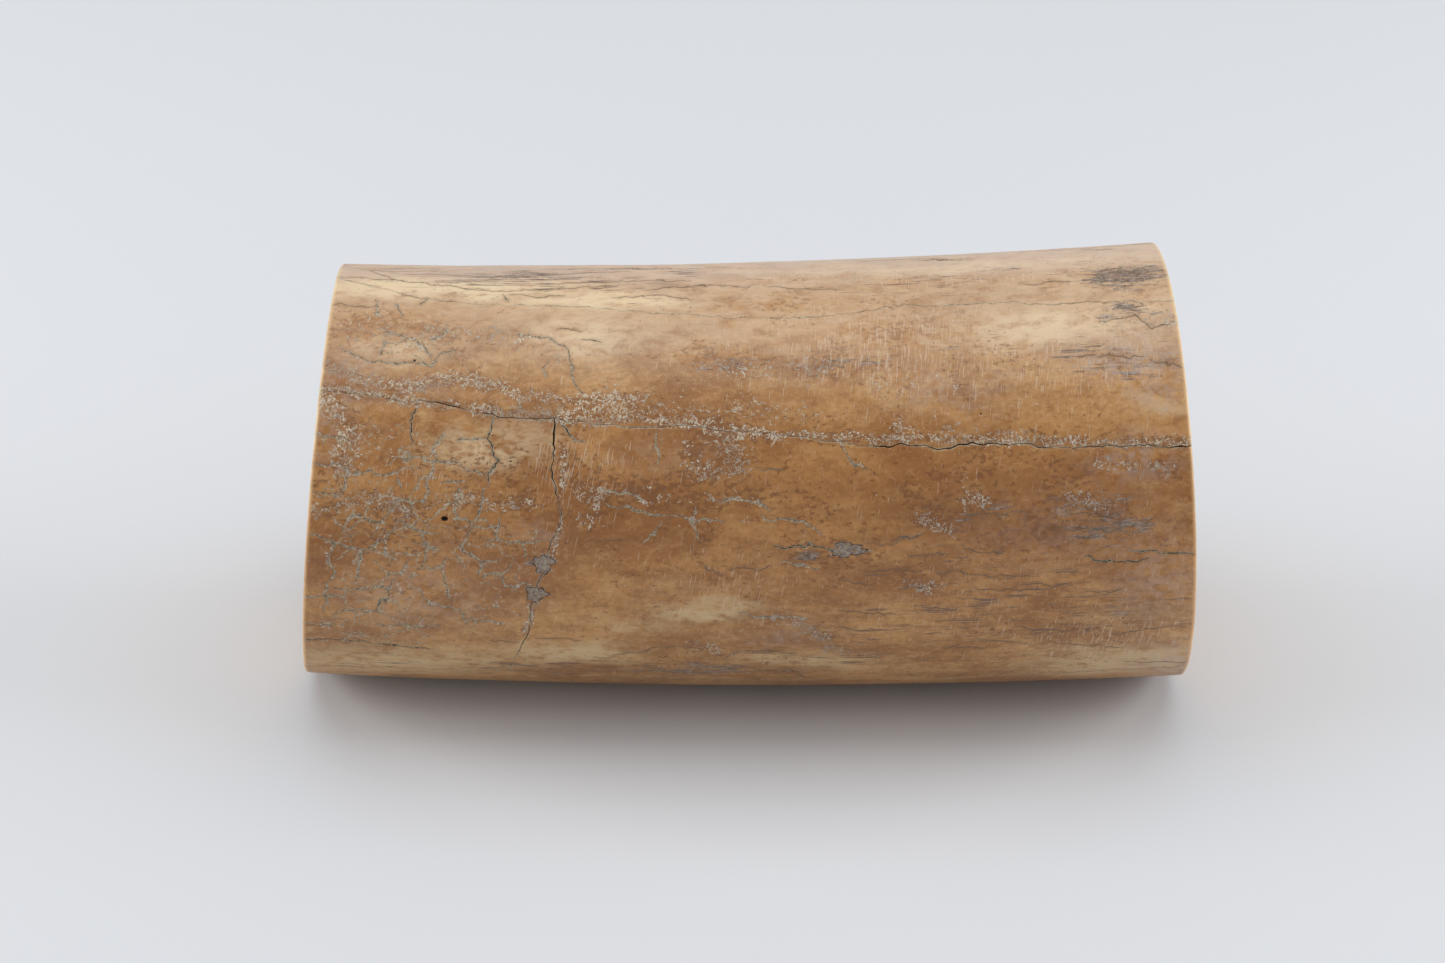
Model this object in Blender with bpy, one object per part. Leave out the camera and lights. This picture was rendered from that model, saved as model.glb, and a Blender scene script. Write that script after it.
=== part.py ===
"""A sawn length of fossil mammoth tusk, lying on its belly.

The tusk is grown in layers, and it comes apart along them: six plates of bark between drying cracks
that run through the bark, two sleeves and a core of dentine that grew one inside the other, the silt in
the nerve canal, and three hard mineral plugs in the bark. Nothing in it moves.

X runs along the tusk, from its tip side to its root side, Y to the back and Z up. The origin is under
the middle of the object, on the surface that it lies on. Lengths are in millimetres and become metres
in mesh_object.

A place on the tusk is (along, angle): along is -1 at the tip-side cut and 1 at the root-side cut, and
angle is in degrees, 0 at the front, 90 on top, 180 at the back and -90 underneath.
"""

import math

import bmesh
import bpy
import numpy as np
from mathutils import Matrix, Vector

MILLIMETRE = 0.001

# The tusk as a whole
HALF_LENGTH = 84.0  # from the middle to the centre of each sawn end
TIP_RADIUS = 40.8
ROOT_RADIUS = 43.2
BOW = 2.12  # how far the bent axis leaves the straight line between its ends
BOW_ANGLE = 60.0  # the hollow side of the bend looks back and up at this angle above level
OUT_OF_ROUND = ((2, 0.25, 112.0), (3, 0.12, 70.0))  # lobes, height and the angle of a crest
BELLY_FLAT = 0.9  # depth of the flat that it lies on
MIDDLE = (0.29, -1.055)  # x and y of the axis at mid length

# How far each saw cut leans: x per mm of y, and x per mm of z
TIP_CUT = (0.0232, 0.0873)
ROOT_CUT = (-0.0544, -0.0471)

# Layers: each value is (at the tip side, at the root side)
BARK = (3.8, 4.8)
MIDDLE_DENTINE_RADIUS = (26.0, 30.0)
CORE_RADIUS = (13.0, 18.0)
CANAL_RADIUS = (1.7, 2.5)
GAP = 0.3  # between pieces that touch

# Cracks through the bark, as (mm from the middle, angle) points
CROWN_CRACK = (
    (-84, 96.0), (-66, 84.5), (-38, 81.0), (-8, 76.5),
    (10, 75.0), (27, 78.0), (58, 76.5), (84, 74.5),
)
FACE_CRACK = (
    (-84, 52.0), (-67, 49.5), (-50, 45.5), (-26, 43.0),
    (5, 40.0), (20, 37.0), (45, 35.5), (84, 32.5),
)
LOWER_CRACK = ((-84, -42.0), (-44, -40.5), (-20, -42.5), (8, -45.0), (50, -43.5), (84, -41.5))
BELLY_CRACK = ((-84, -148.0), (-25, -143.0), (34, -146.0), (84, -150.0))
BACK_CRACK = ((-84, 172.0), (-34, 168.0), (25, 171.0), (84, 165.0))
# The crack across the front of the bark, as (angle, mm from the middle) points
CROSS_CRACK = (
    (-44, -45.5), (-30, -43.5), (-17, -41.2), (-4, -40.0),
    (5, -38.6), (17, -36.0), (29, -37.5), (55, -37.5),
)

# Mineral plugs: (mm from the middle, angle), then length along the tusk and width round it
PLUGS = {
    "upper_mineral_plug": ((-38.9, 4.8), (3.2, 3.6)),
    "lower_mineral_plug": ((-40.1, -4.7), (3.4, 3.0)),
    "right_mineral_plug": ((18.3, 8.9), (5.6, 2.6)),
}
PLUG_DEPTH = 1.5
PLUG_SIDES = 14

# Mesh density
PLATE_ROWS = 16
DEGREES_PER_COLUMN = 7.0
SLEEVE_ROWS = 8
SLEEVE_SIDES = 48
CANAL_SIDES = 14

COLOURS = {
    "bark": ((0.36, 0.17, 0.065), 0.38),
    "dentine": ((0.66, 0.47, 0.27), 0.42),
    "silt": ((0.20, 0.16, 0.12), 0.85),
    "mineral": ((0.30, 0.25, 0.22), 0.75),
}


def clear_scene():
    for obj in list(bpy.data.objects):
        bpy.data.objects.remove(obj)


def through(points):
    """A function of position that passes smoothly through (position, value) points."""
    at, value = np.array(points, float).T
    slope = np.gradient(value, at)

    def curve(position):
        i = np.clip(np.searchsorted(at, position) - 1, 0, len(at) - 2)
        span = at[i + 1] - at[i]
        u = np.clip((position - at[i]) / span, 0, 1)
        start = value[i] * (1 + 2 * u) * (1 - u) ** 2 + slope[i] * span * u * (1 - u) ** 2
        end = value[i + 1] * u * u * (3 - 2 * u) + slope[i + 1] * span * u * u * (u - 1)
        return start + end

    return curve


def crack(points):
    """A lengthwise crack: its angle at a place along the tusk."""
    route = through(points)
    return lambda along: route(along * HALF_LENGTH)


def between(ends, along):
    """The value at a place along the tusk of something that changes evenly from end to end."""
    return ends[0] + (ends[1] - ends[0]) * (along + 1) / 2


def skin_radius(along, angle):
    radius = between((TIP_RADIUS, ROOT_RADIUS), along)
    for lobes, height, crest in OUT_OF_ROUND:
        radius = radius + height * np.cos(lobes * np.radians(angle - crest))
    return radius


def bark_radius(along, angle):
    """The inner face of the bark."""
    return skin_radius(along, angle) - between(BARK, along)


def axis_at(x):
    """y and z of the bent axis. It climbs to the thick end, so that the belly lies level."""
    share = x / HALF_LENGTH
    bow = BOW * share**2
    climb = (ROOT_RADIUS - TIP_RADIUS) / 2 * share
    height = skin_radius(0.0, -90.0) - BELLY_FLAT
    y = bow * math.cos(math.radians(BOW_ANGLE))
    z = bow * math.sin(math.radians(BOW_ANGLE)) + climb + height
    return y, z


def tusk_points(along, angle, radius):
    """Points at this radius from the axis, with along = -1 and 1 exactly in the two saw cuts."""
    along, angle, radius = np.broadcast_arrays(along, angle, radius)
    out_y = -np.cos(np.radians(angle)) * radius
    out_z = np.sin(np.radians(angle)) * radius
    tip_y, tip_z = axis_at(-HALF_LENGTH)
    root_y, root_z = axis_at(HALF_LENGTH)
    x = along * HALF_LENGTH
    for _ in range(6):
        y, z = axis_at(x)
        y, z = y + out_y, z + out_z
        tip_x = -HALF_LENGTH + TIP_CUT[0] * (y - tip_y) + TIP_CUT[1] * (z - tip_z)
        root_x = HALF_LENGTH + ROOT_CUT[0] * (y - root_y) + ROOT_CUT[1] * (z - root_z)
        x = between((tip_x, root_x), along)
    return np.stack([x + MIDDLE[0], y + MIDDLE[1], z], axis=-1)


def skin_points(along, angle):
    """Points on the outside, where the belly is worn flat."""
    points = tusk_points(along, angle, skin_radius(along, angle))
    points[..., 2] = np.maximum(points[..., 2], 0)
    return points


def material(name):
    colour, roughness = COLOURS[name]
    made = bpy.data.materials.get(name) or bpy.data.materials.new(name)
    made.use_nodes = True
    shader = made.node_tree.nodes["Principled BSDF"]
    shader.inputs["Base Color"].default_value = (*colour, 1)
    shader.inputs["Roughness"].default_value = roughness
    shader.inputs["Metallic"].default_value = 0
    return made


def mesh_object(name, points, faces, material_name):
    mesh = bpy.data.meshes.new(name)
    mesh.from_pydata((np.reshape(points, (-1, 3)) * MILLIMETRE).tolist(), [], faces)
    shape = bmesh.new()
    shape.from_mesh(mesh)
    bmesh.ops.recalc_face_normals(shape, faces=shape.faces)
    shape.to_mesh(mesh)
    shape.free()
    mesh.materials.append(material(material_name))
    mesh.shade_smooth()
    mesh.set_sharp_from_angle(angle=math.radians(35))
    obj = bpy.data.objects.new(name, mesh)
    bpy.context.scene.collection.objects.link(obj)
    return obj


def grid_faces(rows, columns, first, around):
    """Quads over a grid of points numbered from first, which closes on itself if around."""
    faces = []
    for row in range(rows - 1):
        for column in range(columns if around else columns - 1):
            after = (column + 1) % columns
            here = first + row * columns
            above = here + columns
            faces.append((here + column, here + after, above + after, above + column))
    return faces


def shell(name, outer, inner, material_name, around):
    """A closed solid between two matching grids, with rows along the tusk and columns round it."""
    rows, columns = outer.shape[:2]
    count = rows * columns
    faces = grid_faces(rows, columns, 0, around)
    faces += grid_faces(rows, columns, count, around)
    for row in (0, rows - 1):
        for column in range(columns if around else columns - 1):
            a, b = row * columns + column, row * columns + (column + 1) % columns
            faces.append((a, b, b + count, a + count))
    for column in () if around else (0, columns - 1):
        for row in range(rows - 1):
            a, b = row * columns + column, (row + 1) * columns + column
            faces.append((a, b, b + count, a + count))
    points = np.concatenate([outer.reshape(-1, 3), inner.reshape(-1, 3)])
    return mesh_object(name, points, faces, material_name)


def plate(name, low, high, start=None, end=None):
    """A plate of bark from the low crack up to the high one, between cross cracks or the sawn ends."""
    low, high = crack(low), crack(high)
    turn = 360 if high(0.0) < low(0.0) else 0
    margin = math.degrees(GAP / 2 / bark_radius(0.0, 0.0))
    width = high(0.0) + turn - low(0.0)
    columns = round(width / DEGREES_PER_COLUMN)
    across = np.linspace(0, 1, columns + 1)[None, :]
    down = np.linspace(0, 1, PLATE_ROWS + 1)[:, None]
    along, angle = np.broadcast_arrays(down * 2 - 1, across * 0)
    for _ in range(8):
        bottom, top = low(along) + margin, high(along) + turn - margin
        angle = bottom + (top - bottom) * across
        first = start(angle) + GAP / 2 / HALF_LENGTH if start else -1.0
        last = end(angle) - GAP / 2 / HALF_LENGTH if end else 1.0
        along = first + (last - first) * down
    inner = tusk_points(along, angle, bark_radius(along, angle))
    return shell(name, skin_points(along, angle), inner, "bark", around=False)


def sleeve(name, outer_radius, inner_radius):
    """A growth layer of dentine: a tube between two radii, each a function of (along, angle)."""
    along = np.linspace(-1, 1, SLEEVE_ROWS + 1)[:, None]
    angle = np.arange(SLEEVE_SIDES)[None, :] * 360 / SLEEVE_SIDES
    outer = tusk_points(along, angle, outer_radius(along, angle))
    inner = tusk_points(along, angle, inner_radius(along, angle))
    return shell(name, outer, inner, "dentine", around=True)


def layer_radius(ends, clearance=0.0):
    """The edge of a layer, a little out of round like the skin."""

    def radius(along, angle):
        share = between(ends, along) / between((TIP_RADIUS, ROOT_RADIUS), along)
        round_radius = between((TIP_RADIUS, ROOT_RADIUS), along)
        wobble = skin_radius(along, angle) - round_radius
        return between(ends, along) + wobble * share - clearance

    return radius


def canal_fill():
    along = np.linspace(-1, 1, SLEEVE_ROWS + 1)[:, None]
    angle = np.arange(CANAL_SIDES)[None, :] * 360 / CANAL_SIDES
    radius = layer_radius(CANAL_RADIUS, GAP)(along, angle)
    points = tusk_points(along, angle, radius)
    faces = grid_faces(SLEEVE_ROWS + 1, CANAL_SIDES, 0, around=True)
    last = SLEEVE_ROWS * CANAL_SIDES
    faces.append(tuple(range(CANAL_SIDES)))
    faces.append(tuple(range(last, last + CANAL_SIDES)))
    return mesh_object("nerve_canal_silt", points, faces, "silt")


def dentine_and_canal():
    sleeve(
        "outer_dentine_sleeve",
        lambda along, angle: bark_radius(along, angle) - GAP,
        layer_radius(MIDDLE_DENTINE_RADIUS),
    )
    sleeve(
        "middle_dentine_sleeve",
        layer_radius(MIDDLE_DENTINE_RADIUS, GAP),
        layer_radius(CORE_RADIUS),
    )
    sleeve("dentine_core", layer_radius(CORE_RADIUS, GAP), layer_radius(CANAL_RADIUS))
    canal_fill()


def bark():
    route = through(CROSS_CRACK)

    def cross(angle):
        return route(angle) / HALF_LENGTH

    return [
        plate("crown_bark_plate", CROWN_CRACK, BACK_CRACK),
        plate("shoulder_bark_plate", FACE_CRACK, CROWN_CRACK),
        plate("front_tip_bark_plate", LOWER_CRACK, FACE_CRACK, end=cross),
        plate("front_root_bark_plate", LOWER_CRACK, FACE_CRACK, start=cross),
        plate("belly_bark_plate", BELLY_CRACK, LOWER_CRACK),
        plate("back_bark_plate", BACK_CRACK, BELLY_CRACK),
    ]


def prism_on_skin(name, place, size, below, above):
    """An oval prism that stands square on the skin, from this far below it to this far above it."""
    along, angle = place[0] / HALF_LENGTH, place[1]
    foot = Vector(skin_points(along, angle))
    ahead = Vector(skin_points(along + 0.01, angle)) - foot
    round_it = Vector(skin_points(along, angle + 1.0)) - foot
    out = ahead.cross(round_it).normalized()
    if out.dot(foot - Vector(tusk_points(along, angle, 0.0))) < 0:
        out = -out
    ahead.normalize()
    turn = Matrix((ahead, out.cross(ahead), out)).transposed().to_4x4()
    shape = bmesh.new()
    bmesh.ops.create_cone(
        shape,
        cap_ends=True,
        segments=PLUG_SIDES,
        radius1=0.5,
        radius2=0.5,
        depth=below + above,
    )
    bmesh.ops.scale(shape, vec=(*size, 1), verts=shape.verts)
    bmesh.ops.translate(shape, vec=(0, 0, (above - below) / 2), verts=shape.verts)
    bmesh.ops.transform(shape, matrix=Matrix.Translation(foot) @ turn, verts=shape.verts)
    points = [vertex.co[:] for vertex in shape.verts]
    faces = [[vertex.index for vertex in face.verts] for face in shape.faces]
    shape.free()
    return mesh_object(name, points, faces, "mineral")


def plug(name, place, size, plates):
    """A mineral plug, and its pocket in each plate that it reaches."""
    prism_on_skin(name, place, size, PLUG_DEPTH, 0.0)
    pocket_size = [side + 2 * GAP for side in size]
    pocket = prism_on_skin(name + "_pocket", place, pocket_size, PLUG_DEPTH + GAP, 3.0)
    pocket.hide_render = True
    pocket.display_type = "WIRE"
    for plate_object in plates:
        cut = plate_object.modifiers.new(pocket.name, "BOOLEAN")
        cut.operation = "DIFFERENCE"
        cut.object = pocket
        cut.solver = "EXACT"


def main():
    clear_scene()
    plates = {obj.name: obj for obj in bark()}
    dentine_and_canal()
    front = [plates["front_tip_bark_plate"], plates["front_root_bark_plate"]]
    for name, (place, size) in PLUGS.items():
        plug(name, place, size, front[1:] if name.startswith("right") else front)


main()
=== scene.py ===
"""The looks of a sawn length of fossil mammoth tusk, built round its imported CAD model.

Each plate of bark, each growth layer of dentine, the silt in the nerve canal and each mineral plug gets a
fine mesh of its own in the place of its CAD node: chipped crack edges, worn saw rims, drying cracks, pits
and the uneven hand-polished skin. The shape functions repeat those of the CAD model.

Lengths are in millimetres until add_piece makes them metres. A place on the skin is (mm from the middle,
angle): the angle is 0 at the front, 90 on top, 180 at the back and -90 underneath.
"""

import math

import bpy
import numpy as np
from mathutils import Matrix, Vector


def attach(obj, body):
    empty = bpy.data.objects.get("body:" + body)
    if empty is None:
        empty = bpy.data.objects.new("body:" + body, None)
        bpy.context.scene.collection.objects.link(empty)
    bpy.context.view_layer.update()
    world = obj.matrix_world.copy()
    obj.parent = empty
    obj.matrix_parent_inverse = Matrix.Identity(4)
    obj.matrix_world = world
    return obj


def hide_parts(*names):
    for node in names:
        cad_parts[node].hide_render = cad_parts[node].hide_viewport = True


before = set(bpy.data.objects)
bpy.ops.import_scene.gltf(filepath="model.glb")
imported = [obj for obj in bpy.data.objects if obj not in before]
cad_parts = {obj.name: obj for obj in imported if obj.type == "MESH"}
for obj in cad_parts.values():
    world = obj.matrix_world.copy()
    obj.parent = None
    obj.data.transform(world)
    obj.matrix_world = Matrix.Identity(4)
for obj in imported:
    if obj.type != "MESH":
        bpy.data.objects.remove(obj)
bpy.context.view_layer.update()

MILLIMETRE = 0.001

# The tusk, as in the CAD model
HALF_LENGTH = 84.0
TIP_RADIUS = 40.8
ROOT_RADIUS = 43.2
BOW = 2.12
BOW_ANGLE = 60.0
OUT_OF_ROUND = ((2, 0.25, 112.0), (3, 0.12, 70.0))
BELLY_FLAT = 0.9
MIDDLE = (0.29, -1.055)
TIP_CUT = (0.0232, 0.0873)
ROOT_CUT = (-0.0544, -0.0471)
BARK = (3.8, 4.8)
OUTER_DENTINE_RADIUS = (TIP_RADIUS - BARK[0], ROOT_RADIUS - BARK[1])
MIDDLE_DENTINE_RADIUS = (26.0, 30.0)
CORE_RADIUS = (13.0, 18.0)
CANAL_RADIUS = (1.7, 2.5)
GAP = 0.3
CROWN_CRACK = (
    (-84, 96.0), (-66, 84.5), (-38, 81.0), (-8, 76.5),
    (10, 75.0), (27, 78.0), (58, 76.5), (84, 74.5),
)
FACE_CRACK = (
    (-84, 52.0), (-67, 49.5), (-50, 45.5), (-26, 43.0),
    (5, 40.0), (20, 37.0), (45, 35.5), (84, 32.5),
)
LOWER_CRACK = ((-84, -42.0), (-44, -40.5), (-20, -42.5), (8, -45.0), (50, -43.5), (84, -41.5))
BELLY_CRACK = ((-84, -148.0), (-25, -143.0), (34, -146.0), (84, -150.0))
BACK_CRACK = ((-84, 172.0), (-34, 168.0), (25, 171.0), (84, 165.0))
CROSS_CRACK = (
    (-44, -45.5), (-30, -43.5), (-17, -41.2), (-4, -40.0),
    (5, -38.6), (17, -36.0), (29, -37.5), (55, -37.5),
)
PLUGS = {
    "upper_mineral_plug": ((-38.9, 4.8), (3.2, 3.6)),
    "lower_mineral_plug": ((-40.1, -4.7), (3.4, 3.0)),
    "right_mineral_plug": ((18.3, 8.9), (5.6, 2.6)),
}
PLUG_DEPTH = 1.5

MEAN_RADIUS = (TIP_RADIUS + ROOT_RADIUS) / 2
MM_PER_DEGREE = MEAN_RADIUS * math.pi / 180
CIRCUMFERENCE = 360 * MM_PER_DEGREE

# Drying cracks that stay inside a plate, as routes over the skin. Open ones get the most painted shade down
# their middle.
OPEN_CRACKS = (
    ((-65, 48), (-66, 43), (-65, 38)), ((-50, 45), (-51, 39), (-49, 33), (-50, 27)),
    ((-37, 43), (-34, 39), (-32, 38)), ((-84, -27), (-79, -25), (-72, -26), (-60, -28)),
    ((-4, -30), (-3, -28), (-1, -26)), ((5, 10), (12, 10), (16, 8), (19, 8)), ((71, 6), (77, 5), (84, 4)),
    ((63, 4), (66, 3), (75, 3)),
)
# Partly filled, with a line of painted shade left in the middle
PARTLY_FILLED_CRACKS = (
    ((-84, 31), (-79, 31), (-77, 29), (-67, 29)), ((-77, 30), (-77, 26), (-78, 23)),
    ((-84, 12), (-79, 9), (-73, 8), (-69, 11), (-67, 15)), ((-67, -2), (-68, -7), (-70, -12)),
)
# Filled with pale mineral
FILLED_CRACKS = (
    ((-56, 39), (-51, 39)), ((-67, 28), (-67, 25)), ((-67, 34), (-61, 32), (-56, 33), (-54, 29)),
    ((-61, 32), (-62, 27), (-61, 24), (-62, 21)), ((-59, 40), (-61, 36), (-60, 32)),
    ((-54, 30), (-50, 30)), ((-59, 27), (-55, 27)), ((-56, 25), (-56, 17), (-53, 16), (-48, 15)),
    ((-51, 26), (-51, 20), (-52, 17)), ((-53, 15), (-54, 9), (-51, 5), (-48, 5)), ((-51, 5), (-51, 2)),
    ((-77, 14), (-75, 17), (-69, 15)), ((-67, 16), (-63, 14), (-59, 13)), ((-62, 13), (-61, 8), (-61, 3)),
    ((-64, 10), (-59, 8)), ((-69, 11), (-69, 6), (-67, 4)),
    ((-79, 10), (-79, 4), (-78, 0), (-80, -7), (-80, -13)), ((-74, 8), (-74, -2)), ((-84, -8), (-76, -8)),
    ((-78, -5), (-67, -4)), ((-64, 5), (-66, 0)), ((-62, 3), (-58, 3), (-57, 5)),
    ((-58, 2), (-57, -3), (-56, -8)), ((-62, -5), (-60, -9), (-54, -11), (-53, -16)),
    ((-50, 1), (-46, 1), (-45, 5)), ((-47, 1), (-46, -2), (-41, -2)), ((-50, 12), (-46, 11), (-39, 11)),
    ((-48, 12), (-48, 17)), ((-43, 11), (-43, 6)), ((-84, 39), (-78, 38), (-77, 36)),
    ((-83, 23), (-78, 22)), ((-84, -18), (-78, -18)), ((-78, -14), (-74, -12), (-70, -12), (-68, -8)),
    ((-70, -17), (-58, -17)), ((-53, -14), (-46, -16)), ((-71, 12), (-70, 16), (-67, 22), (-62, 21)),
    ((-29, 26), (-23, 25), (-20, 22)), ((-27, 22), (-19, 19), (-11, 18), (-5, 17)),
    ((-10, 21), (-11, 18), (-10, 12)), ((-17, 16), (-20, 12)), ((-8, 25), (-7, 23), (-2, 23), (4, 20)),
    ((2, 18), (10, 17), (13, 14)), ((7, 6), (13, 4)), ((-18, 41), (-18, 33)),
    ((17, 37), (19, 32), (22, 30)), ((-2, -11), (5, -12), (11, -13)), ((-72, 71), (-65, 66), (-63, 62)),
    ((-72, 68), (-73, 63)), ((-63, 68), (-60, 72)), ((-81, 65), (-75, 60), (-63, 60), (-58, 65)),
    ((-46, 70), (-40, 69), (-36, 65), (-35, 58), (-33, 52)), ((-40, 61), (-40, 56)),
    ((-45, 50), (-45, 46)), ((-50, 87), (-49, 83)), ((-66, 81), (-65, 85)), ((-75, 83), (-74, 76)),
    ((-71, 81), (-70, 77)),
)
# Thin dark brown checks along the grain, with some painted shade down the middle
GRAIN_CHECKS = (
    ((-77, 103), (-72, 94)), ((-84, 97), (-72, 94), (-52, 89), (-39, 90), (-26, 92)),
    ((-84, 81), (-75, 80)), ((-28, 86), (-18, 86), (-11, 83)), ((4, 89), (18, 87)),
    ((-39, 72), (-33, 71)), ((-33, 68), (-30, 68)), ((1, 31), (6, 30)), ((-29, 12), (-24, 12)),
    ((-4, 4), (4, 4)), ((-9, 4), (-5, 2)), ((22, 3), (31, 2)), ((17, 0), (23, -1)),
    ((21, 11), (25, 10), (31, 12)), ((41, 18), (49, 17)), ((35, 2), (41, 1), (53, 0)),
    ((42, -4), (53, -5)), ((28, -3), (39, -2)), ((56, 14), (70, 11)), ((60, 17), (70, 16)),
    ((40, 9), (47, 7)), ((63, -6), (70, -6)), ((57, 1), (62, 0)), ((52, -3), (61, -3)),
    ((29, 7), (37, 7)), ((27, 12), (33, 12)), ((49, -17), (55, -19), (66, -19)), ((69, -21), (82, -19)),
    ((58, -25), (71, -28)), ((37, -25), (45, -26)), ((71, -36), (84, -38)), ((42, -21), (54, -25)),
    ((33, -9), (40, -10)), ((0, -26), (9, -26)), ((17, -16), (24, -17)), ((17, -10), (27, -12)),
    ((-28, -30), (-16, -24), (-9, -24)), ((7, -35), (12, -43)), ((54, 85), (64, 85)),
    ((63, 59), (76, 57)), ((77, 56), (84, 53)), ((69, 69), (76, 70), (79, 66), (84, 67)),
    ((-40, -21), (-31, -22)), ((-48, -22), (-43, -23)), ((-80, 104), (-70, 103), (-60, 104)),
    ((-66, 100), (-54, 98), (-42, 99)), ((-54, 96), (-46, 96), (-34, 97)),
    ((-50, 103), (-38, 101), (-24, 102)), ((-48, 87), (-43, 86), (-37, 87)),
    ((-38, 94), (-28, 95), (-12, 94)), ((-22, 89), (-10, 91), (0, 90)),
    ((-30, 106), (-16, 105), (-4, 106)), ((-64, 94), (-56, 93)),
)
# Half width in mm, how much painted shade lies down the middle from 0 to 1, how pale the filling is, and
# depth in mm
CRACK_KINDS = (
    (OPEN_CRACKS, 0.23, 1.0, 0.9, 0.26),
    (PARTLY_FILLED_CRACKS, 0.21, 0.60, 1.0, 0.16),
    (FILLED_CRACKS, 0.20, 0.35, 1.0, 0.10),
    (GRAIN_CHECKS, 0.09, 0.4, 0.2, 0.09),
)
HIDDEN_CHECK = (0.10, 0.5, 0.2, 0.12)
HIDDEN_CRAZE = (0.13, 0.3, 0.8, 0.10)
DENTINE_CHECK = (0.07, 0.8, 0.0, 0.2)
# The angles over the back and underneath where cracks are placed at random, and where their centres are
HIDDEN_CHECK_ANGLES = (104, 312)
HIDDEN_CRAZE_ANGLES = (106, 310)
HIDDEN_CRAZE_CENTRES = ((-60, 140), (40, 200), (-20, 250), (60, 285), (-70, 290))
HIDDEN_CHECK_COUNT = 150
HIDDEN_CRAZE_COUNT = 16

# Bands of mineral crust, as (route over the skin, half width in mm, strength)
CRUST_BANDS = (
    (((-83, 60), (-77, 55), (-66, 53), (-57, 56), (-49, 54), (-41, 50), (-21, 50)), 1.9, 0.9),
    (((-84, 52), (-67, 49), (-59, 48), (-50, 46), (-37, 44), (-22, 45), (-7, 43)), 1.35, 1.0),
    (((-41, 47), (-30, 47), (-18, 47)), 2.3, 0.8), (((-20, 47), (-2, 47), (12, 45)), 2.6, 0.55),
    (((-8, 42), (-5, 38), (-3, 32)), 3.4, 0.95), (((-7, 42), (5, 40), (20, 39)), 1.3, 0.85),
    (((20, 39), (45, 37), (66, 35), (84, 34)), 1.05, 1.0), (((28, 40), (52, 38)), 1.8, 0.5),
    (((-83, 50), (-80, 46), (-77, 41), (-78, 30)), 3.2, 0.75),
    (((-84, 43), (-80, 34), (-70, 38), (-62, 36)), 4.5, 0.3),
    (((-82, 17), (-77, 20), (-71, 22), (-65, 19)), 2.3, 0.7),
    (((-62, 20), (-54, 23), (-48, 22), (-42, 22)), 1.9, 0.6),
    (((-33, 25), (-29, 23), (-31, 18)), 2.2, 0.7), (((-24, 26), (-12, 22), (-2, 24)), 2.2, 0.38),
    (((-36, 36), (-36, 25), (-36, 17), (-38, 6), (-40, -4), (-41, -14), (-42, -20)), 0.7, 0.85),
    (((-12, 37), (-10, 31), (-4, 31)), 2.0, 0.7), (((41, 22), (44, 21)), 1.6, 0.9),
    (((32, 17), (37, 14)), 1.6, 0.8), (((60, 20), (67, 19)), 2.0, 0.6), (((66, 30), (80, 27)), 2.2, 0.45),
    (((-11, -22), (-6, -25)), 1.8, 0.7), (((7, -12), (15, -20)), 1.6, 0.75),
    (((15, -25), (25, -29)), 1.6, 0.6), (((30, -1), (34, -3)), 1.6, 0.7),
    (((-65, -4), (-60, -2), (-57, -5)), 3.0, 0.35), (((-76, 8), (-64, 6), (-56, 10)), 6.0, 0.25),
    (((-78, 72), (-64, 69), (-46, 70)), 4.5, 0.45), (((-10, 60), (1, 59), (14, 58)), 3.0, 0.6),
    (((24, 54), (40, 52)), 2.2, 0.35), (((62, 58), (82, 55)), 3.0, 0.35),
    (((70, 71), (82, 68)), 2.5, 0.55), (((72, 88), (84, 85)), 3.0, 0.45),
    (((-84, 171), (-34, 167), (25, 170), (84, 164)), 1.6, 0.95),
    (((-84, 212), (-25, 217), (34, 214), (84, 210)), 1.6, 0.9),
    (((-84, -147), (-25, -142), (34, -145), (84, -149)), 1.4, 0.9),
    (((-66, 140), (-50, 136), (-30, 139)), 3.0, 0.7), (((22, 152), (40, 149), (58, 152)), 2.6, 0.75),
    (((30, 190), (46, 193), (70, 189)), 3.2, 0.75), (((-62, 192), (-44, 188)), 3.0, 0.65),
    (((-20, -110), (10, -106)), 2.6, 0.7), (((46, -96), (62, -92)), 3.0, 0.6),
)

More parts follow.
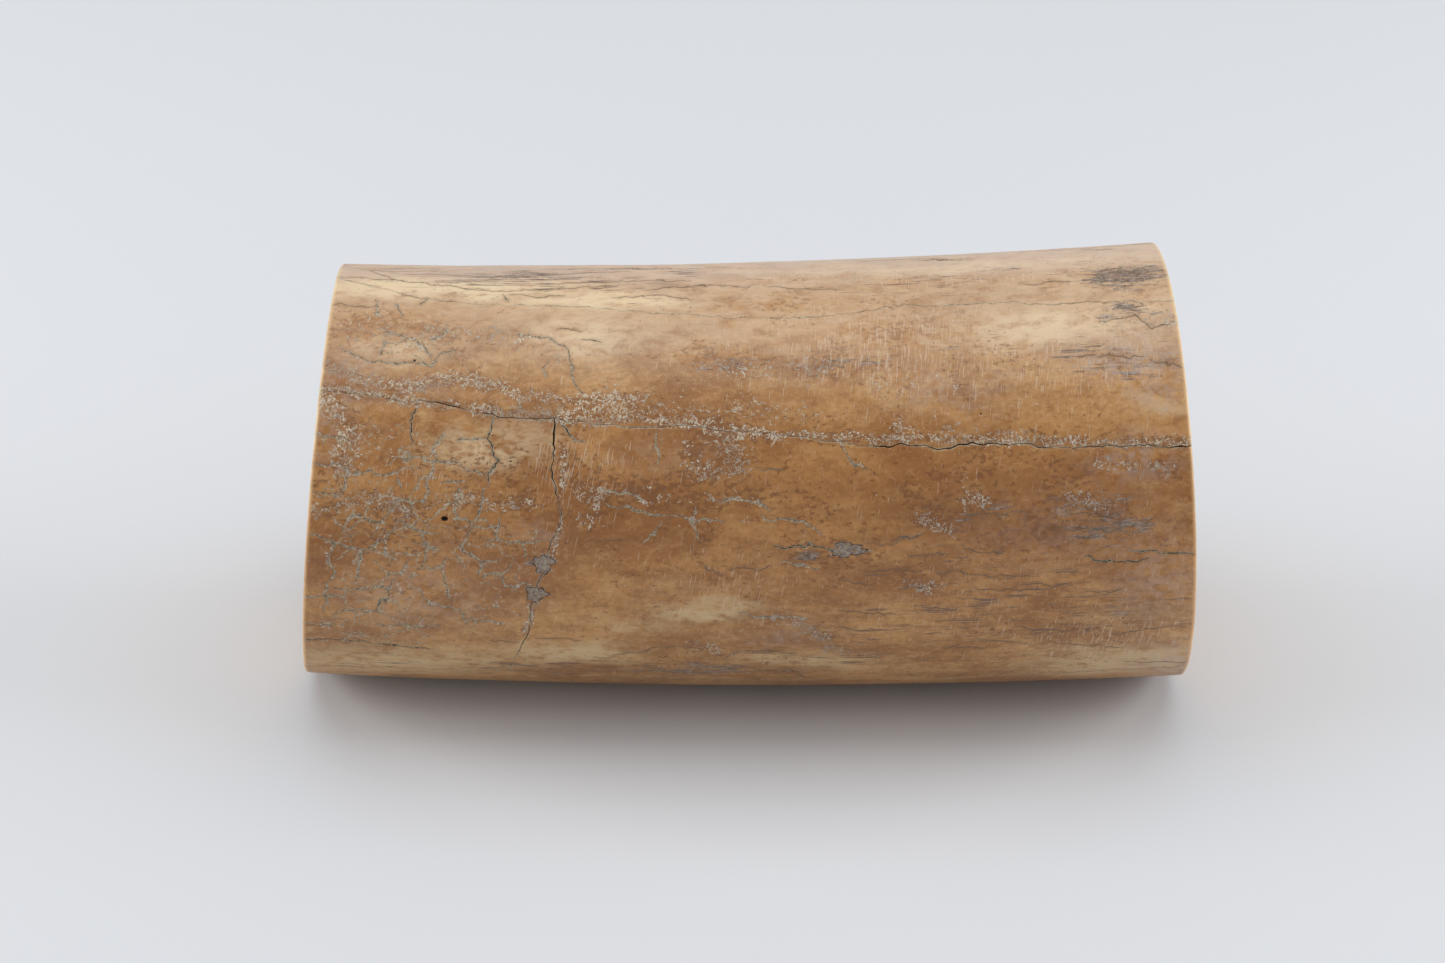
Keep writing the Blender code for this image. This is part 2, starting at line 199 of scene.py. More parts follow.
# Soft oval patches of each tone, as (mm, angle, half length in mm, half width in mm, strength)
PATCHES = {
    "cream": (
        (-62, 90, 34, 5, 1.0), (-30, 84, 22, 4, 0.8), (-32, 69, 14, 9, 0.55), (-16, 65, 18, 7, 0.3),
        (-50, 36, 16, 7, 0.6), (-9, -10, 12, 3, 0.75), (-20, -15, 12, 3.5, 0.5),
        (-33, -27, 16, 4.5, 0.9), (-55, -33, 22, 4, 0.7), (12, -31, 16, 4, 0.7), (60, 68, 26, 6, 0.6),
        (-70, 64, 12, 6, 0.5), (40, 97, 40, 4, 0.5), (20, 130, 50, 16, 0.45), (-50, -70, 40, 12, 0.5),
        (40, -100, 40, 14, 0.4), (-20, 200, 50, 12, 0.4), (78, 44, 8, 5, 0.35), (-66, -36, 22, 9, 0.7),
        (70, -37, 24, 9, 0.75), (70, -15, 16, 6, 0.35), (-12, -2, 18, 5, 0.3),
    ),
    "brown": (
        (-10, 26, 60, 12, 0.75), (40, 24, 45, 11, 0.8), (24, 10, 50, 9, 0.6), (40, 17, 14, 3, 1.0),
        (62, 14, 18, 5, 1.0), (28, 67, 18, 5, 0.9), (4, 80, 14, 2.5, 0.8), (46, 60, 22, 4, 0.6),
        (12, 8, 8, 2.5, 1.0), (-60, 14, 26, 9, 0.5), (21, 59, 12, 4, 0.7), (-70, 72, 16, 5, 0.9),
        (-5, 62, 12, 3.5, 0.8), (-11, 64, 8, 3.5, 0.9), (20, 78, 22, 3.5, 0.5), (-75, 40, 10, 8, 0.3),
        (15, 8, 14, 4, 0.6), (66, 10, 16, 7, 0.5), (-20, 12, 16, 4, 0.5), (-9, -30, 14, 4, 0.6),
        (43, -20, 26, 5, 0.35), (-10, 104, 60, 5, 0.15), (-40, 150, 30, 14, 0.4), (30, -70, 40, 14, 0.4),
        (40, 190, 40, 14, 0.4), (-60, -120, 30, 16, 0.4), (32, 88, 16, 3, 0.4), (0, 74, 7, 1.6, 0.6),
        (-42, 99, 26, 2.0, 0.15), (-36, 92, 14, 1.2, 0.5), (10, 94, 20, 3, 0.5),
    ),
    "grey": (
        (76, 86, 15, 7, 1.2), (74, 72, 11, 5, 1.05), (74, 55, 14, 4, 0.9), (-72, 105, 12, 3, 0.7),
        (-45, 99, 24, 3.5, 1.0), (68, 12, 13, 4.5, 1.0), (6, -12, 10, 2.5, 0.8), (20, -24, 16, 5, 0.7),
        (-9, -36, 26, 3.5, 1.0), (-53, 6, 20, 8, 0.3), (50, -2, 30, 8, 0.5), (50, 93, 16, 2.5, 0.7),
        (-6, 60, 7, 2.5, 0.9), (20, 60, 12, 2.5, 0.9), (-65, 18, 2, 1.5, 0.9), (-53, 21, 1.2, 1, 0.8),
        (-44, 23, 1.8, 1.2, 0.9), (12, 8.5, 5, 1.5, 1.0), (-39, 5, 3, 2.6, 0.9), (-40, -5, 3, 2.6, 0.9),
        (19, 9, 5, 2, 0.9), (46, 18, 10, 3.5, 0.8), (62, 19, 12, 4, 0.9), (36, 11, 8, 2.5, 0.8),
        (28, 17, 8, 3, 0.6), (30, 140, 30, 8, 0.6), (-20, -110, 40, 10, 0.6), (60, 160, 16, 10, 0.6),
        (-60, 190, 20, 8, 0.6), (2, 90, 12, 4, 0.7), (40, 62, 8, 2, 0.7), (70, -14, 8, 2, 0.8),
        (38, 10, 8, 2.5, 0.7), (-60, 75, 10, 3, 0.6), (-30, 76, 12, 2, 0.5),
    ),
    "haze": (
        (74, 57, 11, 6, 0.85), (77, 48, 9, 5, 0.8), (-80, 52, 6, 6, 0.8), (72, 30, 8, 5, 0.8),
        (82, -38, 10, 9, 0.8), (-80, 38, 6, 7, 0.6), (-70, 51, 10, 3, 0.5), (76, -3, 9, 9, 0.7),
        (-62, -6, 16, 8, 0.5), (38, 50, 12, 4, 0.6), (6, -20, 8, 3, 0.6), (-15, 35, 12, 5, 0.3),
        (-60, 103, 26, 6, 0.5), (60, 12, 20, 8, 0.3), (-40, 14, 6, 3, 0.5),
    ),
    # Where fine craze cracks cover the skin
    "craze": (
        (-66, 16, 22, 22, 1.0), (-52, 8, 16, 14, 0.9), (-68, -12, 18, 14, 1.0), (-50, -12, 12, 8, 0.7),
        (-68, 66, 14, 7, 0.8), (-38, 62, 12, 8, 0.6), (-62, 34, 20, 6, 0.6), (-40, 150, 30, 16, 0.8),
        (40, 210, 30, 20, 0.7), (-50, -90, 30, 20, 0.7),
    ),
    # Where fine dark fibres show along the grain
    "fibre": (
        (52, -12, 44, 16, 0.9), (20, -28, 40, 9, 0.9), (60, 14, 30, 8, 0.7), (-40, 98, 50, 7, 1.15),
        (-30, 91, 34, 4, 1.1), (50, 88, 46, 9, 0.9), (-30, -37, 60, 6, 1.1), (66, 60, 22, 8, 0.9),
        (20, 60, 18, 4, 0.6), (0, 130, 90, 20, 0.6), (0, -80, 90, 24, 0.7), (10, 200, 90, 24, 0.6),
        (-20, 84, 30, 4, 0.5),
    ),
    # Where the sanding scratches show most
    "scratch": (
        (24, 62, 26, 12, 1.0), (56, 58, 24, 11, 0.8), (-34, 32, 12, 9, 0.9), (-2, -2, 14, 8, 0.8),
        (68, -25, 18, 9, 0.9), (-62, 28, 12, 6, 0.7), (38, -10, 24, 10, 0.5), (-50, 60, 20, 8, 0.4),
        (44, 92, 40, 8, 0.6), (0, 150, 60, 20, 0.6), (-30, 220, 50, 24, 0.6), (20, -90, 50, 20, 0.6),
    ),
}
# Pits, as (mm, angle, radius in mm, depth in mm)
PITS = ((-58, 17, 0.48, 1.0), (-46, 33, 0.2, 0.3), (44, 44, 0.22, 0.25), (-66, 61, 0.25, 0.3))

# The seeds that make the random parts the same on each run
SKIN_SEED = 5
CHECK_SEED = 21

# Noise over the skin starts here and covers this length, in mm
NOISE_START = -110
NOISE_LENGTH = 240

# Half width of the slope beside a drying crack, how much deeper than a plug its seat is, in mm
CRACK_SLOPE = 0.24
SEAT_UNDER_PLUG = 0.25
# Distance to an edge that a plate does not have, and the longest that the materials need, in mm
NO_EDGE = 99.0
EDGE_REACH = 9.0
# Rows of points down the cut edge of a plate, and skin points per face of its hidden inner side
WALL_STEPS = 8
INNER_STEP = 24
# Edges that turn more than this, in degrees, are shaded sharp
SHARP_ANGLE = 50
# How far light travels under the skin, in mm, and the share of that for red, green and blue
LIGHT_DEPTH = 1.6
LIGHT_SHARES = (1.0, 0.45, 0.18)


# ---- Shape of the tusk ----


def through(points):
    """A function of position that passes smoothly through (position, value) points."""
    at, value = np.array(points, float).T
    slope = np.gradient(value, at)

    def curve(position):
        i = np.clip(np.searchsorted(at, position) - 1, 0, len(at) - 2)
        span = at[i + 1] - at[i]
        u = np.clip((position - at[i]) / span, 0, 1)
        start = value[i] * (1 + 2 * u) * (1 - u) ** 2 + slope[i] * span * u * (1 - u) ** 2
        end = value[i + 1] * u * u * (3 - 2 * u) + slope[i + 1] * span * u * u * (u - 1)
        return start + end

    return curve


def turn_from(centre, angle):
    """Degrees from a centre, the short way round."""
    return (angle - centre + 180) % 360 - 180


def between(ends, along):
    return ends[0] + (ends[1] - ends[0]) * (along + 1) / 2


def skin_radius(along, angle):
    radius = between((TIP_RADIUS, ROOT_RADIUS), along)
    for lobes, height, crest in OUT_OF_ROUND:
        radius = radius + height * np.cos(lobes * np.radians(angle - crest))
    return radius


def bark_radius(along, angle):
    return skin_radius(along, angle) - between(BARK, along)


def layer_radius(ends, clearance=0.0):
    """The edge of a growth layer, a little out of round like the skin."""

    def radius(along, angle):
        share = between(ends, along) / between((TIP_RADIUS, ROOT_RADIUS), along)
        wobble = skin_radius(along, angle) - between((TIP_RADIUS, ROOT_RADIUS), along)
        return between(ends, along) + wobble * share - clearance

    return radius


def axis_at(x):
    share = x / HALF_LENGTH
    bow = BOW * share**2
    climb = (ROOT_RADIUS - TIP_RADIUS) / 2 * share
    height = skin_radius(0.0, -90.0) - BELLY_FLAT
    y = bow * math.cos(math.radians(BOW_ANGLE))
    z = bow * math.sin(math.radians(BOW_ANGLE)) + climb + height
    return y, z


def tusk_points(along, angle, radius):
    """Points at this radius from the axis, with along = -1 and 1 exactly in the two saw cuts."""
    along, angle, radius = np.broadcast_arrays(along, angle, radius)
    out_y = -np.cos(np.radians(angle)) * radius
    out_z = np.sin(np.radians(angle)) * radius
    tip_y, tip_z = axis_at(-HALF_LENGTH)
    root_y, root_z = axis_at(HALF_LENGTH)
    x = along * HALF_LENGTH
    # Place along the slanting cuts and height depend on each other, so they are found in a few rounds
    for _ in range(6):
        y, z = axis_at(x)
        y, z = y + out_y, z + out_z
        tip_x = -HALF_LENGTH + TIP_CUT[0] * (y - tip_y) + TIP_CUT[1] * (z - tip_z)
        root_x = HALF_LENGTH + ROOT_CUT[0] * (y - root_y) + ROOT_CUT[1] * (z - root_z)
        x = between((tip_x, root_x), along)
    return np.stack([x + MIDDLE[0], y + MIDDLE[1], z], axis=-1)


def straightened(along, angle, radius):
    """The same points on a straight tusk, which the grain of the materials follows."""
    along, angle, radius = np.broadcast_arrays(along, angle, radius)
    turn = np.radians(angle)
    return np.stack([along * HALF_LENGTH, -np.cos(turn) * radius, np.sin(turn) * radius], axis=-1)


# ---- Noise and lines over the skin ----


def smooth(u):
    return u * u * (3 - 2 * u)


def noise(x, angle, size, seed, stretch=1.0):
    """Smooth noise from -1 to 1 over the unrolled skin, stretched along it, which meets itself round the
    back. size is the width of its humps in mm."""
    columns = max(4, round(CIRCUMFERENCE / size))
    rows = int(NOISE_LENGTH / (size * stretch)) + 4
    values = np.random.default_rng(seed).uniform(-1, 1, (rows, columns))
    u = (np.asarray(x) - NOISE_START) / (size * stretch)
    v = (np.asarray(angle) % 360) / 360 * columns
    row = np.clip(np.floor(u).astype(int), 0, rows - 2)
    column = np.floor(v).astype(int)
    fu, fv = smooth(np.clip(u - row, 0, 1)), smooth(v - column)
    left, right = column % columns, (column + 1) % columns
    near = values[row, left] * (1 - fv) + values[row, right] * fv
    far = values[row + 1, left] * (1 - fv) + values[row + 1, right] * fv
    return near * (1 - fu) + far * fu


def rough_noise(x, angle, size, seed, stretch=1.0):
    """Noise with finer noise on top of it."""
    total = noise(x, angle, size, seed, stretch)
    total = total + 0.5 * noise(x, angle, size / 2.1, seed + 1, stretch)
    return total + 0.25 * noise(x, angle, size / 4.3, seed + 2, stretch)


def nearest_on(points, start, end):
    """For each point: the share of a segment where it is nearest, and the distance there."""
    way = end - start
    offset = points - start
    share = np.clip(offset @ way / (way @ way), 0, 1)
    return share, np.linalg.norm(offset - share[:, None] * way, axis=1)


def on_paper(x, angle):
    """Skin places as flat points in mm, a little shaken so that straight routes come out crooked."""
    across = np.asarray(angle) * MM_PER_DEGREE
    shake_x = 0.55 * noise(x, angle, 3.1, 301) + 0.36 * noise(x, angle, 1.2, 302)
    shake_y = 0.55 * noise(x, angle, 3.1, 303) + 0.36 * noise(x, angle, 1.2, 304)
    shake_x = shake_x + 0.20 * noise(x, angle, 0.55, 305)
    shake_y = shake_y + 0.20 * noise(x, angle, 0.55, 306)
    return np.stack([x + shake_x, across + shake_y], axis=-1)


class Sheet:
    """Flat points, sorted so that those near a segment are found fast."""

    def __init__(self, points):
        self.points = points.reshape(-1, 2)
        self.order = np.argsort(self.points[:, 0])
        self.sorted_x = self.points[self.order, 0]

    def near(self, start, end, reach):
        low, high = np.minimum(start, end) - reach, np.maximum(start, end) + reach
        first, last = np.searchsorted(self.sorted_x, (low[0], high[0]))
        found = self.order[first:last]
        y = self.points[found, 1]
        return found[(y > low[1]) & (y < high[1])]


class LineField:
    """For each point: the signed and plain distance to the nearest line, and that line's kind.

    The sign changes from one side of a line to the other, so the line stays sharp between mesh points.
    """

    REACH = 1.6  # mm from a line that its points know of it

    def __init__(self, points):
        self.sheet = Sheet(points)
        self.points = self.sheet.points
        count = len(self.points)
        self.distance = np.full(count, self.REACH)
        self.signed = np.full(count, self.REACH)
        self.width, self.dark, self.pale, self.depth = np.zeros((4, count))

    def add(self, line, kind):
        line = np.asarray(line, float)
        steps = np.linalg.norm(np.diff(line, axis=0), axis=1)
        total = steps.sum()
        passed = 0.0
        for start, end, step in zip(line[:-1], line[1:], steps):
            self.add_segment(start, end, (passed / total, step / total), kind)
            passed += step

    def add_segment(self, start, end, share, kind):
        near = self.sheet.near(start, end, self.REACH)
        if not len(near):
            return
        u, distance = nearest_on(self.points[near], start, end)
        closer = distance < self.distance[near]
        near, u, distance = near[closer], u[closer], distance[closer]
        way, from_start = end - start, self.points[near] - start
        side = np.sign(way[0] * from_start[:, 1] - way[1] * from_start[:, 0])
        place = share[0] + share[1] * u
        taper = 0.45 + 0.55 * np.sqrt(np.clip(4 * place * (1 - place), 0, 1))
        self.distance[near] = distance
        self.signed[near] = distance * np.where(side == 0, 1, side)
        self.width[near] = kind[0] * taper
        self.dark[near] = kind[1]
        self.pale[near] = kind[2]
        self.depth[near] = kind[3] * taper


def on_skin(route):
    """A route over the skin as flat points in mm."""
    return [(x, angle * MM_PER_DEGREE) for x, angle in route]


def hidden_checks():
    """Drying checks along the grain on the back and underneath."""
    chance = np.random.default_rng(CHECK_SEED)
    checks = []
    for _ in range(HIDDEN_CHECK_COUNT):
        x, angle = chance.uniform(-HALF_LENGTH, HALF_LENGTH), chance.uniform(*HIDDEN_CHECK_ANGLES)
        length = chance.uniform(4, 20)
        steps = 4
        drift = np.cumsum(chance.normal(0, 0.5, steps + 1))
        checks.append([(x + length * i / steps, angle + drift[i]) for i in range(steps + 1)])
    return checks


def hidden_craze():
    chance = np.random.default_rng(CHECK_SEED + 1)
    craze = []
    for centre in HIDDEN_CRAZE_CENTRES:
        for _ in range(HIDDEN_CRAZE_COUNT):
            x = centre[0] + chance.normal(0, 12)
            angle = np.clip(centre[1] + chance.normal(0, 14), *HIDDEN_CRAZE_ANGLES)
            reach = chance.uniform(2, 6) * chance.choice((-1, 1))
            craze.append([(x, angle), (x + chance.normal(0, 1.2), angle + reach)])
    return craze


def crack_field(x, angle):
    field = LineField(on_paper(x, angle))
    for routes, *kind in CRACK_KINDS:
        for route in routes:
            field.add(on_skin(route), kind)
    for turned in (0, -360):
        for route in hidden_checks():
            field.add(on_skin([(a, b + turned) for a, b in route]), HIDDEN_CHECK)
        for route in hidden_craze():
            field.add(on_skin([(a, b + turned) for a, b in route]), HIDDEN_CRAZE)
    return field


def band_strength(x, angle, bands):
    """How strongly soft-edged bands cover each point."""
    sheet = Sheet(on_paper(x, angle))
    total = np.zeros(len(sheet.points))
    for route, half_width, strength in bands:
        line = np.array(on_skin(route))
        for start, end in zip(line[:-1], line[1:]):
            near = sheet.near(start, end, 3 * half_width)
            away = nearest_on(sheet.points[near], start, end)[1] / half_width
            total[near] = np.maximum(total[near], strength * np.exp(-(away**2)))
    return total.reshape(np.shape(x))


def patch_strength(x, angle, patches):
    """How strongly soft oval patches with ragged edges cover each point."""
    total = np.zeros(np.shape(x))
    ragged_x = x + 3.0 * noise(x, angle, 5.0, 401, 2.0)
    ragged_turn = angle + 2.2 * noise(x, angle, 4.0, 402, 2.0) + 1.0 * noise(x, angle, 1.6, 403, 3.0)
    for centre_x, centre_angle, half_length, half_width, strength in patches:
        away_x = (ragged_x - centre_x) / half_length
        away_turn = turn_from(centre_angle, ragged_turn) * MM_PER_DEGREE / half_width
        total = np.maximum(total, strength * np.exp(-(away_x**2) - away_turn**2))
    return total


# ---- Meshes ----


def add_piece(name, points, faces, tusk_mm, materials, material_index=None, fields={}):
    """A closed mesh in the place of a CAD node, with its values for the materials."""
    mesh = bpy.data.meshes.new(name)
    mesh.from_pydata((points.reshape(-1, 3) * MILLIMETRE).tolist(), [], faces)
    for made in materials:
        mesh.materials.append(made)
    if material_index is not None:
        mesh.polygons.foreach_set("material_index", np.asarray(material_index, np.int32))
    for label, values in fields.items():
        attribute = mesh.attributes.new(label, "FLOAT", "POINT")
        attribute.data.foreach_set("value", np.asarray(values, np.float32).ravel())
    attribute = mesh.attributes.new("tusk_mm", "FLOAT_VECTOR", "POINT")
    attribute.data.foreach_set("vector", np.asarray(tusk_mm, np.float32).ravel())
    mesh.update()
    mesh.shade_smooth()
    mesh.set_sharp_from_angle(angle=math.radians(SHARP_ANGLE))
    obj = bpy.data.objects.new(name + "_worn", mesh)
    bpy.context.scene.collection.objects.link(obj)
    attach(obj, "root")
    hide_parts(name)
    return obj


def edge_steps(length, spacing):
    """Shares of a length: even steps, with finer ones beside both rims."""
    rim = np.array((0.0, 0.05, 0.12, 0.22, 0.36))
    count = max(2, round((length - 2 * rim[-1]) / spacing))
    middle = np.linspace(rim[-1], length - rim[-1], count + 1)[1:-1]
    return np.concatenate([rim, middle, length - rim[::-1]]) / length


def rim_loop(rows, columns):
    """Grid places round the rim of a grid, in the direction that its outward faces run."""
    down = [(row, 0) for row in range(rows - 1)]
    across = [(rows - 1, column) for column in range(columns - 1)]
    up = [(row, columns - 1) for row in range(rows - 1, 0, -1)]
    back = [(0, column) for column in range(columns - 1, 0, -1)]
    return np.array(down + across + up + back)


def coarse_inner_faces(rows, columns, index):
    """Big faces over the hidden inner side of a plate, which use every point of its rim."""
    half = INNER_STEP // 2
    row_cuts = [*range(0, rows - 1 - half, INNER_STEP), rows - 1]
    column_cuts = [*range(0, columns - 1 - half, INNER_STEP), columns - 1]
    faces = []
    for top, bottom in zip(row_cuts[:-1], row_cuts[1:]):
        for left, right in zip(column_cuts[:-1], column_cuts[1:]):
            step_top = 1 if top == 0 else right - left
            step_right = 1 if right == columns - 1 else bottom - top
            step_bottom = 1 if bottom == rows - 1 else right - left
            step_left = 1 if left == 0 else bottom - top
            ring = [(top, c) for c in range(left, right, step_top)]
            ring += [(r, right) for r in range(top, bottom, step_right)]
            ring += [(bottom, c) for c in range(right, left, -step_bottom)]
            ring += [(r, left) for r in range(bottom, top, -step_left)]
            faces.append([index(place) for place in ring])
    return faces


def quads(first, second, third, fourth):
    return np.stack([first, second, third, fourth], axis=-1).reshape(-1, 4).tolist()


def plate_mesh(outer, inner):
    """Points, faces and material numbers of a plate: its skin, its cut edges and its hidden inner side.
    The last result says which skin point each point takes its values from."""
    rows, columns = outer.shape[:2]
    skin = np.arange(rows * columns).reshape(rows, columns)
    faces = quads(skin[:-1, :-1], skin[1:, :-1], skin[1:, 1:], skin[:-1, 1:])
    material_index = [0] * len(faces)
    loop = rim_loop(rows, columns)
    rim = skin[loop[:, 0], loop[:, 1]]
    outer_rim, inner_rim = outer[loop[:, 0], loop[:, 1]], inner[loop[:, 0], loop[:, 1]]
    points, source, depth = [outer.reshape(-1, 3)], [skin.ravel()], [np.zeros(rows * columns)]
    ring = rim
    total = rows * columns
    for step in range(1, WALL_STEPS + 1):
        share = step / WALL_STEPS
        points.append(outer_rim + (inner_rim - outer_rim) * share)
        source.append(rim)
        depth.append(np.full(len(rim), share))
        below = total + np.arange(len(rim))
        total += len(rim)
        faces += quads(np.roll(ring, -1), ring, below, np.roll(below, -1))
        ring = below
    material_index += [1] * (len(faces) - len(material_index))
    place_of = {tuple(place): number for place, number in zip(loop.tolist(), ring.tolist())}

    def index(place):
        nonlocal total
        if place not in place_of:
            place_of[place] = total
            points.append(inner[place][None, :])
            source.append(skin[place][None])
            depth.append(np.ones(1))
            total += 1
        return place_of[place]

    faces += coarse_inner_faces(rows, columns, index)
    material_index += [1] * (len(faces) - len(material_index))
    return np.concatenate(points), faces, material_index, np.concatenate(source), np.concatenate(depth)


# ---- Bark ----


def wiggle(position, seed):
    """How far a crack strays from its route, in mm."""
    angle = 90.0 + seed * 7
    stray = 0.40 * noise(position, angle, 7.0, 500 + seed)
    stray = stray + 0.38 * noise(position, angle, 2.2, 530 + seed)
    return stray + 0.22 * noise(position, angle, 0.8, 560 + seed)


def opening(position, seed, widths):
    """The width of a crack along its route, in mm, from (position, width) points."""
    at, width = np.array(widths, float).T
    share = 0.8 + 0.5 * rough_noise(position, 20.0 + seed * 11, 4.0, 600 + seed)
    return np.maximum(np.interp(position, at, width) * share, 0.02)


class LongCrack:
    """A crack along the tusk, between two plates."""

    def __init__(self, route, seed, widths):
        self.route = through(route)
        self.seed = seed
        self.widths = widths

    def angle(self, along):
        x = along * HALF_LENGTH
        return self.route(x) + wiggle(x, self.seed) / MM_PER_DEGREE

    def half_gap(self, along):
        """Half the width of the crack, in degrees."""
        return opening(along * HALF_LENGTH, self.seed, self.widths) / 2 / MM_PER_DEGREE


CROWN = LongCrack(CROWN_CRACK, 1, ((-84, 0.07), (-60, 0.04), (0, 0.04), (84, 0.07)))
FACE = LongCrack(
    FACE_CRACK,
    2,
    (
        (-84, 0.06), (-64, 0.06), (-60, 0.22), (-38, 0.26), (-34, 0.07), (18, 0.07),
        (26, 0.26), (42, 0.28), (50, 0.14), (76, 0.16), (84, 0.28),
    ),
)
LOWER = LongCrack(LOWER_CRACK, 3, ((-84, 0.14), (-45, 0.06), (-20, 0.12), (84, 0.12)))
BELLY = LongCrack(BELLY_CRACK, 4, ((-84, 0.24), (0, 0.08), (84, 0.20)))
BACK = LongCrack(BACK_CRACK, 5, ((-84, 0.16), (10, 0.22), (84, 0.10)))
CROSS_ROUTE = through(CROSS_CRACK)
# (mm round the skin, width)
CROSS_WIDTHS = (
    (-32, 0.04), (-22, 0.06), (-16, 0.16), (-8, 0.24), (0, 0.12), (6, 0.26), (12, 0.22), (13.5, 0.05),
    (16, 0.05), (18, 0.24), (33, 0.30),
)


def cross_crack(angle, side):
    """along at the edge of the crack across the front, on its low (-1) or high (1) side."""
    position = angle * MM_PER_DEGREE
    middle = CROSS_ROUTE(angle) + wiggle(position, 6)
    return (middle + side * opening(position, 6, CROSS_WIDTHS) / 2) / HALF_LENGTH


def plug_outline(name, turn):
    """Share of its oval size that a plug reaches at each turn round its middle, in radians."""
    seed = list(PLUGS).index(name)
    ragged = 0.16 * np.sin(3 * turn + seed) + 0.10 * np.sin(5 * turn + 2.1 * seed)
    ragged = ragged + 0.10 * np.sin(8 * turn + 1.3 * seed) + 0.07 * np.sin(13 * turn + seed)
    return 1.0 + ragged + 0.04 * np.sin(21 * turn + 2 * seed)


def plug_share(name, x, angle):
    """Distance from a plug's middle, as a share of its ragged outline."""
    (centre_x, centre_angle), (length, width) = PLUGS[name]
    across_x = (x - centre_x) / (length / 2)
    across_y = turn_from(centre_angle, angle) * MM_PER_DEGREE / (width / 2)
    turn = np.arctan2(across_y, across_x)
    return np.hypot(across_x, across_y) / plug_outline(name, turn)


def pit_cover(x, angle):
    """1 in the pits, and how deep they are there in mm."""
    cover, sunk = np.zeros(x.shape), np.zeros(x.shape)
    for pit_x, pit_angle, radius, depth in PITS:
        across = turn_from(pit_angle, angle) * MM_PER_DEGREE
        inside = np.exp(-((np.hypot((x - pit_x) * 0.7, across) / radius) ** 4))
        cover, sunk = np.maximum(cover, inside), np.maximum(sunk, inside * depth)
    return cover, sunk


def skin_relief(x, angle, field, crust, saw_rim, crack_rim):
    """How far the worn skin stands off its ideal radius, in mm."""
    # Humps from broad to fine, and the grit of the crust
    relief = 0.10 * noise(x, angle, 17.0, SKIN_SEED, 1.4) - 0.08
    relief += 0.05 * rough_noise(x, angle, 5.0, SKIN_SEED + 10, 3.0)
    relief += 0.018 * rough_noise(x, angle, 1.1, SKIN_SEED + 20, 6.0)
    relief += crust * (0.05 * rough_noise(x, angle, 0.9, SKIN_SEED + 30) - 0.02)
    # Drying cracks, worn saw rims, chipped crack edges, pits and the seats of the plugs
    relief -= field.depth.reshape(x.shape) * np.exp(-((field.distance.reshape(x.shape) / CRACK_SLOPE) ** 2))
    worn = 0.26 + 0.12 * noise(x, angle, 6.0, SKIN_SEED + 40)
    relief -= worn * np.clip(1 - saw_rim / 0.5, 0, 1) ** 2
    chipped = 0.04 + 0.20 * np.clip(rough_noise(x, angle, 2.4, SKIN_SEED + 50), 0, 1)
    relief -= chipped * np.clip(1 - crack_rim / 0.4, 0, 1) ** 2
    relief -= pit_cover(x, angle)[1]
    for name in PLUGS:
        share = plug_share(name, x, angle)
        relief -= (PLUG_DEPTH + SEAT_UNDER_PLUG) * smooth(np.clip((1.05 - share) / 0.05, 0, 1))
    return np.minimum(relief, 0.12)


